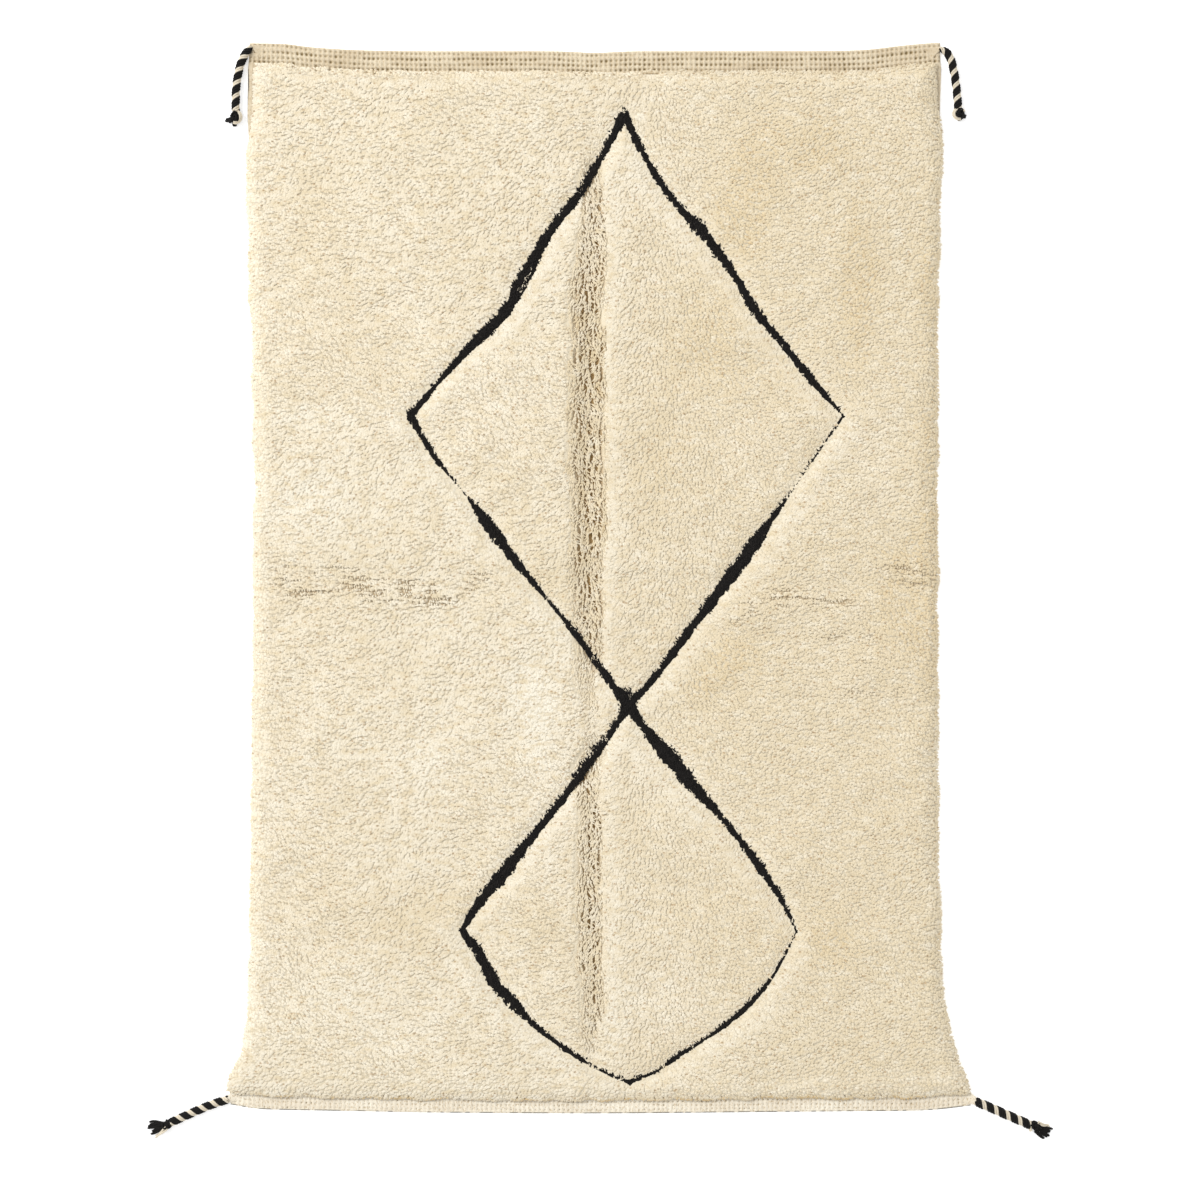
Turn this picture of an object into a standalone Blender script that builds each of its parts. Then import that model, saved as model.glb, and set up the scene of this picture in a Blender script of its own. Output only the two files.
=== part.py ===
"""Beni ourain rug: a thick knotted wool rug that lies flat with its pile up.

The pile, the flat-woven bands at the head and the foot and the selvedges along the sides are woven in
one, so they are one solid. A plied cord with a knot on its end leaves each corner and lies on the floor.

Metres, +Z up. +X runs across the rug and +Y along it, towards the head. The origin is in the middle of
the rug's footprint, on the floor.
"""
import math

import bmesh
import bpy
from mathutils import Vector

# ---------------------------------------------------------------- driving sizes
WEAVE_THICK = 0.007          # flat-woven bands and selvedges
BULGE_HIGH = 0.014           # where the side of the pile stands out furthest
SHOULDER_HIGH = 0.024        # where the side of the pile turns over into its top
PILE_HIGH = 0.029            # mean height of the pile's top
HEAD_BAND = 0.048            # length of the flat-woven band at the head
FOOT_BAND = 0.034            # and of the part of it that shows at the foot
EAR_LONG = 0.015             # from a band's end to its second row of points
WALL_LEAN = 0.003            # how far the foot of the pile's wall stands out past its bulge
LOCK_REACH = 0.009           # how far the locks of the rim stand out of the bulge
LOCK_TIP = 0.34              # a lock's tip, as a share of its root
LOCK_DROP = 0.007            # how far a lock's tip hangs below the middle of its root
LOCK_LEAN = 0.0022           # how far its tip leans to a side, at most
SHOULDER_WIDE = 0.012        # from the bulge in to the shoulder
SELVEDGE_OUT = 0.004         # selvedge past the bulge, where the locks hide it
FULL_REVEAL = 0.011          # width of selvedge that lies bare near the head
EAR_MARGIN = 0.0005          # how much wider than its cord the face of a corner is
SEAT_GAP = 0.0003            # gap between pieces that touch

COLUMNS_EACH_SIDE = 15       # columns of faces between a side's shoulder and the fold
COLUMNS_CLOSER = 1.25        # how much closer they stand at the fold: 1 is even
ROWS = 78                    # rows of faces between the head's shoulder and the foot's
CORD_SIDES = 10              # points round a cord, and sections in one turn of its twist
KNOT_SIDES = 12              # points round a knot

# The sides, read down the rug. reveal: how much of the selvedge lies bare beside the pile.
SIDES_COLUMNS = ("along", "left", "right", "reveal_left", "reveal_right")
SIDES = (
    (1.230, -0.815, 0.784, 0.011, 0.009),
    (1.195, -0.817, 0.785, 0.011, 0.009),
    (1.161, -0.820, 0.788, 0.011, 0.009),
    (1.103, -0.822, 0.788, 0.011, 0.007),
    (1.034, -0.820, 0.788, 0.007, 0.000),
    (0.965, -0.818, 0.787, 0.000, 0.000),
    (0.872, -0.816, 0.782, 0.000, 0.000),
    (0.642, -0.810, 0.777, 0.000, 0.000),
    (0.365, -0.802, 0.776, 0.000, 0.000),
    (0.043, -0.801, 0.775, 0.000, 0.000),
    (-0.372, -0.805, 0.777, 0.000, 0.000),
    (-0.695, -0.807, 0.779, 0.000, 0.000),
    (-0.879, -0.811, 0.784, 0.000, 0.000),
    (-0.972, -0.813, 0.791, 0.000, 0.000),
    (-1.018, -0.816, 0.798, 0.000, 0.000),
    (-1.052, -0.822, 0.807, 0.000, 0.000),
    (-1.087, -0.830, 0.819, 0.000, 0.000),
    (-1.121, -0.843, 0.829, 0.000, 0.000),
    (-1.156, -0.856, 0.842, 0.000, 0.000),
    (-1.184, -0.861, 0.850, 0.000, 0.000),
    (-1.225, -0.858, 0.853, 0.000, 0.000),
)

# The two ends, read across the rug: the head sags between its corners, the foot bows out.
ENDS_COLUMNS = ("across", "head", "foot")
ENDS = (
    (-0.860, 1.235, -1.214),
    (-0.800, 1.234, -1.224),
    (-0.730, 1.232, -1.227),
    (-0.673, 1.225, -1.228),
    (-0.558, 1.218, -1.230),
    (-0.396, 1.216, -1.233),
    (-0.004, 1.216, -1.235),
    (0.364, 1.216, -1.232),
    (0.595, 1.218, -1.230),
    (0.710, 1.230, -1.229),
    (0.775, 1.235, -1.226),
    (0.860, 1.235, -1.216),
)

# The long fold down the middle, read down the rug: where it runs, how deep and how wide it is.
FOLD_COLUMNS = ("along", "across", "deep", "wide")
FOLD = (
    (1.170, -0.030, 0.000, 0.024),
    (1.000, -0.030, 0.003, 0.024),
    (0.750, -0.026, 0.008, 0.026),
    (0.350, -0.027, 0.011, 0.028),
    (0.000, -0.029, 0.009, 0.026),
    (-0.300, -0.024, 0.005, 0.025),
    (-0.750, -0.022, 0.006, 0.024),
    (-1.050, -0.018, 0.006, 0.022),
    (-1.180, -0.016, 0.002, 0.020),
)
CREST_OFF = 0.068            # the swelling that runs along the right of the fold
CREST_SHARE = 0.27           # its height, as a share of the fold's depth
CREST_WIDE = 0.045

# Shallow folds across the rug: a trough from one place to another. Past its ends it fades away.
CROSS_FOLDS_COLUMNS = ("from_across", "from_along", "to_across", "to_along", "deep", "wide")
CROSS_FOLDS = (
    (-0.800, 0.010, 0.780, -0.020, 0.0050, 0.027),
    (0.250, -0.120, 0.780, -0.165, 0.0030, 0.024),
    (0.300, -0.265, 0.780, -0.300, 0.0025, 0.024),
    (-0.800, 0.640, -0.150, 0.600, 0.0025, 0.030),
    (0.150, 0.480, 0.780, 0.520, 0.0020, 0.030),
    (-0.800, -0.690, 0.780, -0.740, 0.0025, 0.036),
)
CROSS_FADE = 0.15

# Slow lumps in the pile: how long and how wide they are, their offset and their height. Their rows wander
# instead of running straight. Single clumps of tufts add a little at each point.
LUMPS_COLUMNS = ("across", "along", "offset", "high")
LUMPS = (
    (0.520, 0.330, 0.4, 0.0022),
    (0.290, 0.210, 1.9, 0.0018),
    (0.170, 0.140, 3.1, 0.0013),
)
LUMP_WANDER = 1.1
CLUMP_HIGH = 0.0014

# The corner cords, on the floor. Each route's points run from the corner to the knot. first_turn is how far
# the black ply has turned there, in tenths of a turn from the left of the route. ends are the knot's cut
# yarn ends: how far each leans to the left of the route, its length and its thickness.
CORDS = {
    "head_left": {
        "thick": 0.019, "pitch": 0.031, "first_turn": -2.5, "knot_long": 0.030, "knot_wide": 0.029,
        "route": ((-0.8104, 1.2306), (-0.8208, 1.2175), (-0.8286, 1.2048), (-0.8351, 1.1896),
                  (-0.8413, 1.1640), (-0.8452, 1.1375), (-0.8466, 1.1099), (-0.8464, 1.0804)),
        "ends": ((-1.00, 0.016, 0.0060), (-0.55, 0.014, 0.0050), (0.25, 0.015, 0.0055),
                 (0.95, 0.012, 0.0045)),
    },
    "head_right": {
        "thick": 0.019, "pitch": 0.030, "first_turn": 4.8, "knot_long": 0.027, "knot_wide": 0.029,
        "route": ((0.7802, 1.2251), (0.7906, 1.2210), (0.8001, 1.2127), (0.8065, 1.2007),
                  (0.8114, 1.1836), (0.8171, 1.1537), (0.8210, 1.1214), (0.8240, 1.0863)),
        "ends": ((-0.90, 0.010, 0.0050), (-0.10, 0.011, 0.0055), (0.80, 0.012, 0.0050)),
    },
    "foot_left": {
        "thick": 0.020, "pitch": 0.0285, "first_turn": -3.6, "knot_long": 0.026, "knot_wide": 0.027,
        "route": ((-0.8641, -1.2041), (-0.8743, -1.2069), (-0.8907, -1.2120), (-0.9079, -1.2182),
                  (-0.9344, -1.2293), (-0.9610, -1.2412), (-0.9872, -1.2532), (-0.9967, -1.2578)),
        "ends": ((-0.75, 0.026, 0.0055), (-0.30, 0.030, 0.0060), (0.10, 0.031, 0.0060),
                 (0.45, 0.027, 0.0055), (0.90, 0.024, 0.0045)),
    },
    "foot_right": {
        "thick": 0.021, "pitch": 0.030, "first_turn": 0.3, "knot_long": 0.027, "knot_wide": 0.029,
        "route": ((0.8637, -1.2083), (0.8750, -1.2134), (0.8865, -1.2180), (0.8996, -1.2235),
                  (0.9264, -1.2355), (0.9531, -1.2470), (0.9780, -1.2578), (0.9895, -1.2629)),
        "ends": ((-0.80, 0.022, 0.0055), (-0.30, 0.027, 0.0065), (0.15, 0.028, 0.0060),
                 (0.65, 0.022, 0.0050)),
    },
}

# A knot's barrel, read from the cord to its far side: where, and how stout as a share of its widest.
KNOT_PROFILE_COLUMNS = ("share", "stout")
KNOT_PROFILE = ((0.00, 0.34), (0.08, 0.66), (0.26, 0.94), (0.46, 0.98), (0.64, 1.00), (0.84, 0.76),
                (1.00, 0.42))
KNOT_WRAP = 6.2              # radians that the wrapped strand turns along the barrel
KNOT_RIDGE = 0.17            # how far it stands out, as a share of the radius

# Colours of the wool, seen from a step away.
CREAM = (0.78, 0.70, 0.53)
CORD_MIX = (0.16, 0.14, 0.12)
BLACK = (0.012, 0.011, 0.011)


# ---------------------------------------------------------------- curves through short tables
def read_table(table, columns, name, at):
    """One column of a table as a smooth curve: a cubic between rows, with slopes from their neighbours.

    The first column is where each row stands. Outside the table the end row holds.
    """
    column = columns.index(name)
    rows = sorted(table)
    places = [row[0] for row in rows]
    values = [row[column] for row in rows]
    if at <= places[0]:
        return values[0]
    if at >= places[-1]:
        return values[-1]
    k = max(i for i, place in enumerate(places[:-1]) if place <= at)

    def slope(i):
        low, high = max(i - 1, 0), min(i + 1, len(rows) - 1)
        return (values[high] - values[low]) / (places[high] - places[low])

    step = places[k + 1] - places[k]
    t = (at - places[k]) / step
    return ((2 * t**3 - 3 * t**2 + 1) * values[k] + (t**3 - 2 * t**2 + t) * step * slope(k)
            + (3 * t**2 - 2 * t**3) * values[k + 1] + (t**3 - t**2) * step * slope(k + 1))


def side(name, along):
    return read_table(SIDES, SIDES_COLUMNS, name, along)


def end(name, across):
    return read_table(ENDS, ENDS_COLUMNS, name, across)


def fold(name, along):
    return read_table(FOLD, FOLD_COLUMNS, name, along)


def hill(distance, wide):
    """A soft round swelling: 1 at its middle, about a third at wide."""
    return math.exp(-(distance / wide) ** 2)


# ---------------------------------------------------------------- the top of the pile
def pile_top(across, along):
    """Height of the pile's top: its mean height, the lumps, the long fold and the cross folds."""
    high = PILE_HIGH
    for wave_across, wave_along, offset, swing in LUMPS:
        turn_across = math.tau * across / wave_across + offset
        turn_along = math.tau * along / wave_along - offset
        high += (swing * math.sin(turn_across + LUMP_WANDER * math.sin(0.6 * turn_along))
                 * math.sin(turn_along + LUMP_WANDER * math.sin(0.7 * turn_across)))
    off = across - fold("across", along)
    deep = fold("deep", along)
    high -= deep * hill(off, fold("wide", along))
    high += deep * CREST_SHARE * hill(off - CREST_OFF, CREST_WIDE)
    for from_across, from_along, to_across, to_along, trough, wide in CROSS_FOLDS:
        share = (across - from_across) / (to_across - from_across)
        middle = from_along + (to_along - from_along) * share
        fade = hill(max(0.0, -share, share - 1.0), CROSS_FADE)
        high -= trough * fade * hill(along - middle, wide)
    return high


# ---------------------------------------------------------------- the rug
def shares_closing(count):
    """Shares from 0 to 1 in count steps, closer together towards 1."""
    return [1 - (1 - i / count) ** COLUMNS_CLOSER for i in range(count + 1)]


def rim_places(name, along):
    """Across places at one side of a row: the selvedge's edge, the pile's bulge and its shoulder."""
    inward = 1 if name == "left" else -1
    outline = side(name, along)
    reveal = max(0.0, side("reveal_" + name, along))
    hidden = (LOCK_REACH - SELVEDGE_OUT) * (1 - min(1.0, reveal / FULL_REVEAL))
    bulge = reveal + LOCK_REACH
    return [outline + inward * inset for inset in (hidden, bulge, bulge + SHOULDER_WIDE)]


def column_places(along_left, along_middle, along_right):
    """Across places of a row's points: rim, shoulder, fold, shoulder, rim; and the rims' heights."""
    left = rim_places("left", along_left)
    right = rim_places("right", along_right)
    middle = fold("across", along_middle)
    shares = shares_closing(COLUMNS_EACH_SIDE)
    from_left = [left[-1] + (middle - left[-1]) * share for share in shares]
    from_right = [right[-1] + (middle - right[-1]) * share for share in shares]
    places = left[:-1] + from_left + from_right[-2::-1] + right[-2::-1]
    rim_tops = (WEAVE_THICK, BULGE_HIGH, SHOULDER_HIGH)
    tops = [None] * len(places)
    for i, top in enumerate(rim_tops):
        tops[i] = tops[-1 - i] = top
    return places, tops


def end_rows(band):
    """Rows of points at an end with a band this long: how far in each is, and the height it keeps to."""
    return [(0.0, WEAVE_THICK), (EAR_LONG, WEAVE_THICK), (band - WALL_LEAN, WEAVE_THICK),
            (band, BULGE_HIGH), (band + SHOULDER_WIDE, SHOULDER_HIGH)]


def rug_grid():
    """The rug's upper surface as rows of points, from the foot to the head."""
    head_rows, foot_rows = end_rows(HEAD_BAND), end_rows(FOOT_BAND)
    foot_in = foot_rows[-1][0]
    head_in = head_rows[-1][0]
    rows = [("foot", inset, top) for inset, top in foot_rows]
    rows += [("between", i / ROWS, None) for i in range(1, ROWS)]
    rows += [("head", inset, top) for inset, top in reversed(head_rows)]
    grid = []
    for r, (where, amount, row_top) in enumerate(rows):
        def along_of(across):
            foot_line, head_line = end("foot", across), end("head", across)
            if where == "foot":
                return foot_line + amount
            if where == "head":
                return head_line - amount
            low, high = foot_line + foot_in, head_line - head_in
            return low + (high - low) * amount
        places, column_tops = column_places(along_of(SIDES[0][1]), along_of(0.0), along_of(SIDES[0][2]))
        line = []
        for c, (across, column_top) in enumerate(zip(places, column_tops)):
            along = along_of(across)
            limits = [top for top in (row_top, column_top) if top is not None]
            clump = CLUMP_HIGH * math.sin(12.99 * r + 78.23 * c)
            high = min(limits) if limits else pile_top(across, along) + clump
            line.append(Vector((across, along, high)))
        grid.append(line)
    set_corner_ears(grid)
    return grid


def set_corner_ears(grid):
    """Turns each corner's last face of the rim square to the cord that leaves it."""
    for corner, cord in CORDS.items():
        end_name, side_name = corner.split("_")
        points, _ = smooth_route(cord["route"], cord["pitch"] / CORD_SIDES)
        heading = level_heading(points, 0)
        sideways = Vector((-heading.y, heading.x, 0.0)) * (cord["thick"] / 2 + EAR_MARGIN)
        if (sideways.y > 0) != (end_name == "head"):
            sideways = -sideways
        face_middle = points[0] - heading * SEAT_GAP
        row, next_row = (-1, -2) if end_name == "head" else (0, 1)
        column = 0 if side_name == "left" else -1
        for line, point in ((grid[row], face_middle + sideways), (grid[next_row], face_middle - sideways)):
            line[column] = Vector((point.x, point.y, WEAVE_THICK))


def grow_locks(mesh, roots):
    """Draws each of the rim's faces out into a tapering lock that hangs over the edge."""
    tips = bmesh.ops.extrude_discrete_faces(mesh, faces=roots)["faces"]
    for i, tip in enumerate(tips):
        tip.normal_update()
        middle = tip.calc_center_median()
        outward = Vector((tip.normal.x, tip.normal.y, 0.0)).normalized()
        sideways = Vector((-outward.y, outward.x, 0.0))
        uneven = math.sin(2.4 * i) + 0.6 * math.sin(5.1 * i + 1.0)
        reach = SHOULDER_WIDE / 2 + LOCK_REACH * (0.85 + 0.10 * uneven)
        lean = LOCK_LEAN * math.sin(3.7 * i + 0.5)
        tip_middle = middle + outward * reach + sideways * lean
        tip_middle.z = middle.z - LOCK_DROP * (1.0 + 0.15 * uneven)
        for vert in tip.verts:
            vert.co = tip_middle + (vert.co - middle) * LOCK_TIP


def build_rug():
    """A grid for the upper surface, a rim straight down to the floor and one flat face underneath."""
    grid = rug_grid()
    mesh = bmesh.new()
    rows = [[mesh.verts.new(point) for point in line] for line in grid]
    last_row, last_column = len(rows) - 1, len(rows[0]) - 1
    roots = []
    for r in range(last_row):
        for c in range(last_column):
            face = mesh.faces.new((rows[r][c], rows[r][c + 1], rows[r + 1][c + 1], rows[r + 1][c]))
            on_side = c in (1, last_column - 2) and 3 <= r <= last_row - 4
            on_end = r in (3, last_row - 4) and 1 <= c <= last_column - 2
            if on_side or on_end:
                roots.append(face)
    rim = ([(0, c) for c in range(last_column)] + [(r, last_column) for r in range(last_row)]
           + [(last_row, c) for c in range(last_column, 0, -1)] + [(r, 0) for r in range(last_row, 0, -1)])
    edge = [rows[r][c] for r, c in rim]
    floor = [mesh.verts.new((vert.co.x, vert.co.y, 0.0)) for vert in edge]
    for i, vert in enumerate(edge):
        after = (i + 1) % len(edge)
        mesh.faces.new((vert, floor[i], floor[after], edge[after]))
    mesh.faces.new(list(reversed(floor)))
    mesh.normal_update()
    grow_locks(mesh, roots)
    return mesh, len(roots)


# ---------------------------------------------------------------- the corner cords and their knots
def smooth_route(points, step):
    """Points every step along a smooth curve through the route's own points, with the last one kept."""
    knots = [Vector((x, y, 0.0)) for x, y in points]
    knots = [2 * knots[0] - knots[1]] + knots + [2 * knots[-1] - knots[-2]]
    fine = []
    for a, b, c, d in zip(knots, knots[1:], knots[2:], knots[3:]):
        for k in range(20):
            t = k / 20
            fine.append(0.5 * (2 * b + (c - a) * t + (2 * a - 5 * b + 4 * c - d) * t**2
                               + (3 * b - a - 3 * c + d) * t**3))
    fine.append(knots[-2])
    lengths = [0.0]
    for a, b in zip(fine, fine[1:]):
        lengths.append(lengths[-1] + (b - a).length)
    count = max(2, round(lengths[-1] / step))
    even = []
    k = 0
    for i in range(count + 1):
        want = lengths[-1] * i / count
        while k < len(fine) - 2 and lengths[k + 1] < want:
            k += 1
        share = (want - lengths[k]) / (lengths[k + 1] - lengths[k])
        even.append(fine[k].lerp(fine[k + 1], share))
    return even, lengths[-1]


def two_ply_outline(angle, thick):
    """Distance from the cord's axis to its skin: the outer one of two round plies, black and cream.

    The black ply is the thicker. Together they are thick across.
    """
    plies = ((0.0, 0.29 * thick, 0.21 * thick), (math.pi, 0.24 * thick, 0.26 * thick))
    reach = 0.0
    for at, radius, off in plies:
        turn = angle - at
        under_root = radius**2 - (off * math.sin(turn)) ** 2
        if under_root > 0:
            reach = max(reach, off * math.cos(turn) + math.sqrt(under_root))
    return max(reach, 0.25 * thick)


def loft_rings(mesh, rings, twisted):
    """Skins a stack of equal rings of points and closes both ends.

    Where it is twisted, each face is cut along the slant of a Z twist, so that the ridges stay sharp.
    """
    loops = [[mesh.verts.new(point) for point in ring] for ring in rings]
    for low, high in zip(loops, loops[1:]):
        for i in range(len(low)):
            after = (i + 1) % len(low)
            if twisted:
                mesh.faces.new((low[i], low[after], high[after]))
                mesh.faces.new((low[i], high[after], high[i]))
            else:
                mesh.faces.new((low[i], low[after], high[after], high[i]))
    mesh.faces.new(list(reversed(loops[0])))
    mesh.faces.new(loops[-1])
    return loops


def ring_points(middle, heading, radius_at, sides):
    """One ring round a level heading; radius_at gives the distance from its middle at each angle."""
    sideways = Vector((-heading.y, heading.x, 0.0))
    upward = Vector((0.0, 0.0, 1.0))
    ring = []
    for i in range(sides):
        angle = math.tau * i / sides
        offset = sideways * math.cos(angle) + upward * math.sin(angle)
        ring.append(middle + offset * radius_at(angle))
    return ring


def level_heading(points, i):
    low, high = max(i - 1, 0), min(i + 1, len(points) - 1)
    return (points[high] - points[low]).normalized()


def build_cord(cord):
    """Two plies laid up in a Z twist: their outline carried along the route, turning as it goes.

    It turns by one point of the ring at each section, so every ridge runs through points of the rings.
    """
    thick = cord["thick"]
    points, length = smooth_route(cord["route"], cord["pitch"] / CORD_SIDES)
    rings = []
    for i, point in enumerate(points):
        turned = math.tau * (cord["first_turn"] + i) / CORD_SIDES
        middle = point + Vector((0.0, 0.0, thick / 2))
        rings.append(ring_points(middle, level_heading(points, i),
                                 lambda angle: two_ply_outline(angle - turned, thick), CORD_SIDES))
    mesh = bmesh.new()
    loft_rings(mesh, rings, twisted=True)
    return mesh, length


def build_knot(cord):
    """An overhand knot: a stout barrel with the wrapped strand raised slantwise round it, and cut ends."""
    thick, long, wide = cord["thick"], cord["knot_long"], cord["knot_wide"]
    points, _ = smooth_route(cord["route"], thick / 2)
    heading = level_heading(points, len(points) - 1)
    start = points[-1] + heading * SEAT_GAP
    rings = []
    for share, swell in KNOT_PROFILE:
        radius = wide / 2 * swell
        middle = start + heading * long * share
        middle.z = thick / 2 + max(0.0, radius - thick / 2) * 0.8

        def wrapped(angle, radius=radius, share=share):
            wrap = math.cos(2 * angle - KNOT_WRAP * share)
            return radius * (1 + KNOT_RIDGE * math.sin(math.pi * share) * wrap)
        ring = ring_points(middle, heading, wrapped, KNOT_SIDES)
        rings.append([Vector((p.x, p.y, max(p.z, 0.0))) for p in ring])
    mesh = bmesh.new()
    loft_rings(mesh, rings, twisted=False)
    mesh.normal_update()
    grow_cut_ends(mesh, cord, heading, rings[-2:])
    return mesh


def grow_cut_ends(mesh, cord, heading, last_rings):
    """Draws the yarns' cut ends out of the knot's far side: each leans its own way and rests level."""
    sideways = Vector((-heading.y, heading.x, 0.0))
    root_line = sum(last_rings[0] + last_rings[1], Vector()) / (2 * KNOT_SIDES)
    mesh.faces.ensure_lookup_table()
    far_faces = [face for face in mesh.faces if len(face.verts) == 4
                 and abs((face.calc_center_median() - root_line).dot(heading)) < 0.002]
    far_faces.sort(key=lambda face: (face.calc_center_median() - root_line).dot(sideways))
    free = [face for face in far_faces if face.normal.z > -0.55]
    count = len(cord["ends"])
    for i, (lean, long, thick) in enumerate(sorted(cord["ends"])):
        root = free[round(i * (len(free) - 1) / max(1, count - 1))]
        way = (heading + sideways * lean).normalized()
        grow_strand(mesh, root, way, long, thick)


def grow_strand(mesh, root, way, long, thick):
    """One cut end of yarn: a four-sided strand in two lengths, the second lying level on the floor."""
    face = root
    start = root.calc_center_median()
    for share, swell in ((0.55, 1.0), (1.0, 0.75)):
        face = bmesh.ops.extrude_discrete_faces(mesh, faces=[face])["faces"][0]
        middle = start + way * long * share
        middle.z = max(thick / 2, start.z * (1 - share))
        across = Vector((-way.y, way.x, 0.0))
        here = face.calc_center_median()
        around = sorted(face.verts, key=lambda v: math.atan2(v.co.z - here.z, (v.co - here).dot(across)))
        corners = ((-1, -1), (1, -1), (1, 1), (-1, 1))
        for vert, (right, up) in zip(around, corners):
            vert.co = middle + (across * right + Vector((0, 0, up))) * thick / 2 * swell
            vert.co.z = max(vert.co.z, 0.0)


# ---------------------------------------------------------------- objects
def make_material(name, colour):
    material = bpy.data.materials.new(name)
    material.use_nodes = True
    shader = material.node_tree.nodes["Principled BSDF"]
    shader.inputs["Base Color"].default_value = (*colour, 1.0)
    shader.inputs["Roughness"].default_value = 0.95
    shader.inputs["Metallic"].default_value = 0.0
    material.diffuse_color = (*colour, 1.0)
    return material


def add_object(name, mesh, material):
    data = bpy.data.meshes.new(name)
    mesh.to_mesh(data)
    mesh.free()
    data.shade_smooth()
    data.set_sharp_from_angle(angle=math.radians(50))
    data.materials.append(material)
    piece = bpy.data.objects.new(name, data)
    bpy.context.scene.collection.objects.link(piece)
    return piece


def main():
    for old in list(bpy.data.objects):
        bpy.data.objects.remove(old, do_unlink=True)
    cream = make_material("cream_wool", CREAM)
    mixed = make_material("plied_wool", CORD_MIX)
    black = make_material("black_wool", BLACK)
    rug, locks = build_rug()
    strands = sum(len(cord["ends"]) for cord in CORDS.values())
    print("locks of the rim", locks, "cut ends", strands)
    add_object("rug", rug, cream)
    for corner, cord in CORDS.items():
        line, length = build_cord(cord)
        add_object("cord_" + corner, line, mixed)
        add_object("knot_" + corner, build_knot(cord), black)
        print("cord", corner, "length", round(length, 4))
    for piece in bpy.data.objects:
        piece.data.calc_loop_triangles()
        print(piece.name, "triangles", len(piece.data.loop_triangles))


main()
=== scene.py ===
# %% [markdown]
# # A knotted wool rug with black lozenges
# The rug lies flat on a pale floor and the camera hangs straight above it. It is one cloth: a wool ground
# with bare woven bands at both ends, and a long pile knotted into it, cream but for two stacked lozenges of
# black knots. A plied cord with a knot leaves each corner. The solids of the fixed frame give the size and
# the place of everything. The pieces made here have the same outline and the yarn that the solids leave out.

import bpy
import numpy as np
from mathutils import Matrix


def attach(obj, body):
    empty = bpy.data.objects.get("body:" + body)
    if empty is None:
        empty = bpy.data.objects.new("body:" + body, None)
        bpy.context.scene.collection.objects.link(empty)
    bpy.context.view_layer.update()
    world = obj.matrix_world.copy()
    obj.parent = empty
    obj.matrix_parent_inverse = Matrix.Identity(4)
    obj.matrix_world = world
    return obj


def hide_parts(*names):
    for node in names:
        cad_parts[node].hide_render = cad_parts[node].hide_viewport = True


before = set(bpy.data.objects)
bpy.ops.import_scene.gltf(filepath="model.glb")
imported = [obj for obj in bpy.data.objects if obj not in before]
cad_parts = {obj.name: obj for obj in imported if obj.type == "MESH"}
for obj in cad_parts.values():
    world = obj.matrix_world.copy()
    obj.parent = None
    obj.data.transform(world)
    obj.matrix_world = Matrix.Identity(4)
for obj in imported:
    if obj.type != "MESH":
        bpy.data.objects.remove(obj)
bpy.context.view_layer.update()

# %% [markdown]
# ## The camera
# A long lens far above the rug shows it almost without perspective, as a product photo does. An orthographic
# camera would show none at all, which no real lens does. The height follows from the width that the camera
# has to take in at the level of the pile: height = width x lens / sensor.

# %% Camera
PILE_HIGH = 0.029
VIEW_WIDE = 2.766
VIEW_MIDDLE = (-0.0044, -0.0496)
LENS = 85.0
SENSOR = 36.0

camera_data = bpy.data.cameras.new("camera")
camera_data.lens = LENS
camera_data.sensor_width = SENSOR
camera = bpy.data.objects.new("camera", camera_data)
camera.location = (*VIEW_MIDDLE, PILE_HIGH + VIEW_WIDE * LENS / SENSOR)
bpy.context.scene.collection.objects.link(camera)
bpy.context.scene.camera = camera
print("camera", round(camera.location.z, 3), "m above the floor")

# %% [markdown]
# ## Helpers: curves, shells and pieces
# Every shape below is a grid of points worked out with numpy. A *shell* is a dictionary with its points, its
# four-sided and three-sided faces, marks (one number for each point, read by the material) and a UV place for
# each corner of each face. Shells are joined before they become one object, which is far quicker than making
# thousands of objects.


# %% A smooth curve through a short table
def curve_through(rows, column, at):
    """Cubics through one column of a table, h00 a + h10 slope_a + h01 b + h11 slope_b between two rows.

    The first column is where each row stands, the slopes come from the rows on either side, and outside the
    table the end row holds.
    """
    table = np.array(sorted(rows), float)
    places, values = table[:, 0], table[:, column]
    order = np.arange(len(places))
    before, after = np.maximum(order - 1, 0), np.minimum(order + 1, len(places) - 1)
    slopes = (values[after] - values[before]) / (places[after] - places[before])
    at = np.clip(at, places[0], places[-1])
    k = np.clip(np.searchsorted(places, at, side="right") - 1, 0, len(places) - 2)
    step = places[k + 1] - places[k]
    t = (at - places[k]) / step
    return ((2 * t**3 - 3 * t**2 + 1) * values[k] + (t**3 - 2 * t**2 + t) * step * slopes[k]
            + (3 * t**2 - 2 * t**3) * values[k + 1] + (t**3 - t**2) * step * slopes[k + 1])


# %% Lengths, directions and smooth noise
NOISE_NET = 256


def unit(vectors):
    """Each vector divided by its own length."""
    return vectors / np.maximum(np.linalg.norm(vectors, axis=-1, keepdims=True), 1e-12)


def gone_along(path):
    """How far along a line of points each of them lies."""
    return np.concatenate([[0], np.cumsum(np.linalg.norm(np.diff(path, axis=0), axis=1))])


def blend(first, second, share):
    """The first value where the share is 0, the second where it is 1."""
    return first + (second - first) * share


def step_up(place, start, soft):
    """A soft step from 0 to 1 at start: 1 / (1 + exp((start - place) / soft))."""
    return 1 / (1 + np.exp((start - place) / soft))


def hill(distance, wide):
    """A soft round swelling exp(-(distance / wide)^2): 1 at its middle, about a third at wide."""
    return np.exp(-(distance / wide) ** 2)


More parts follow.
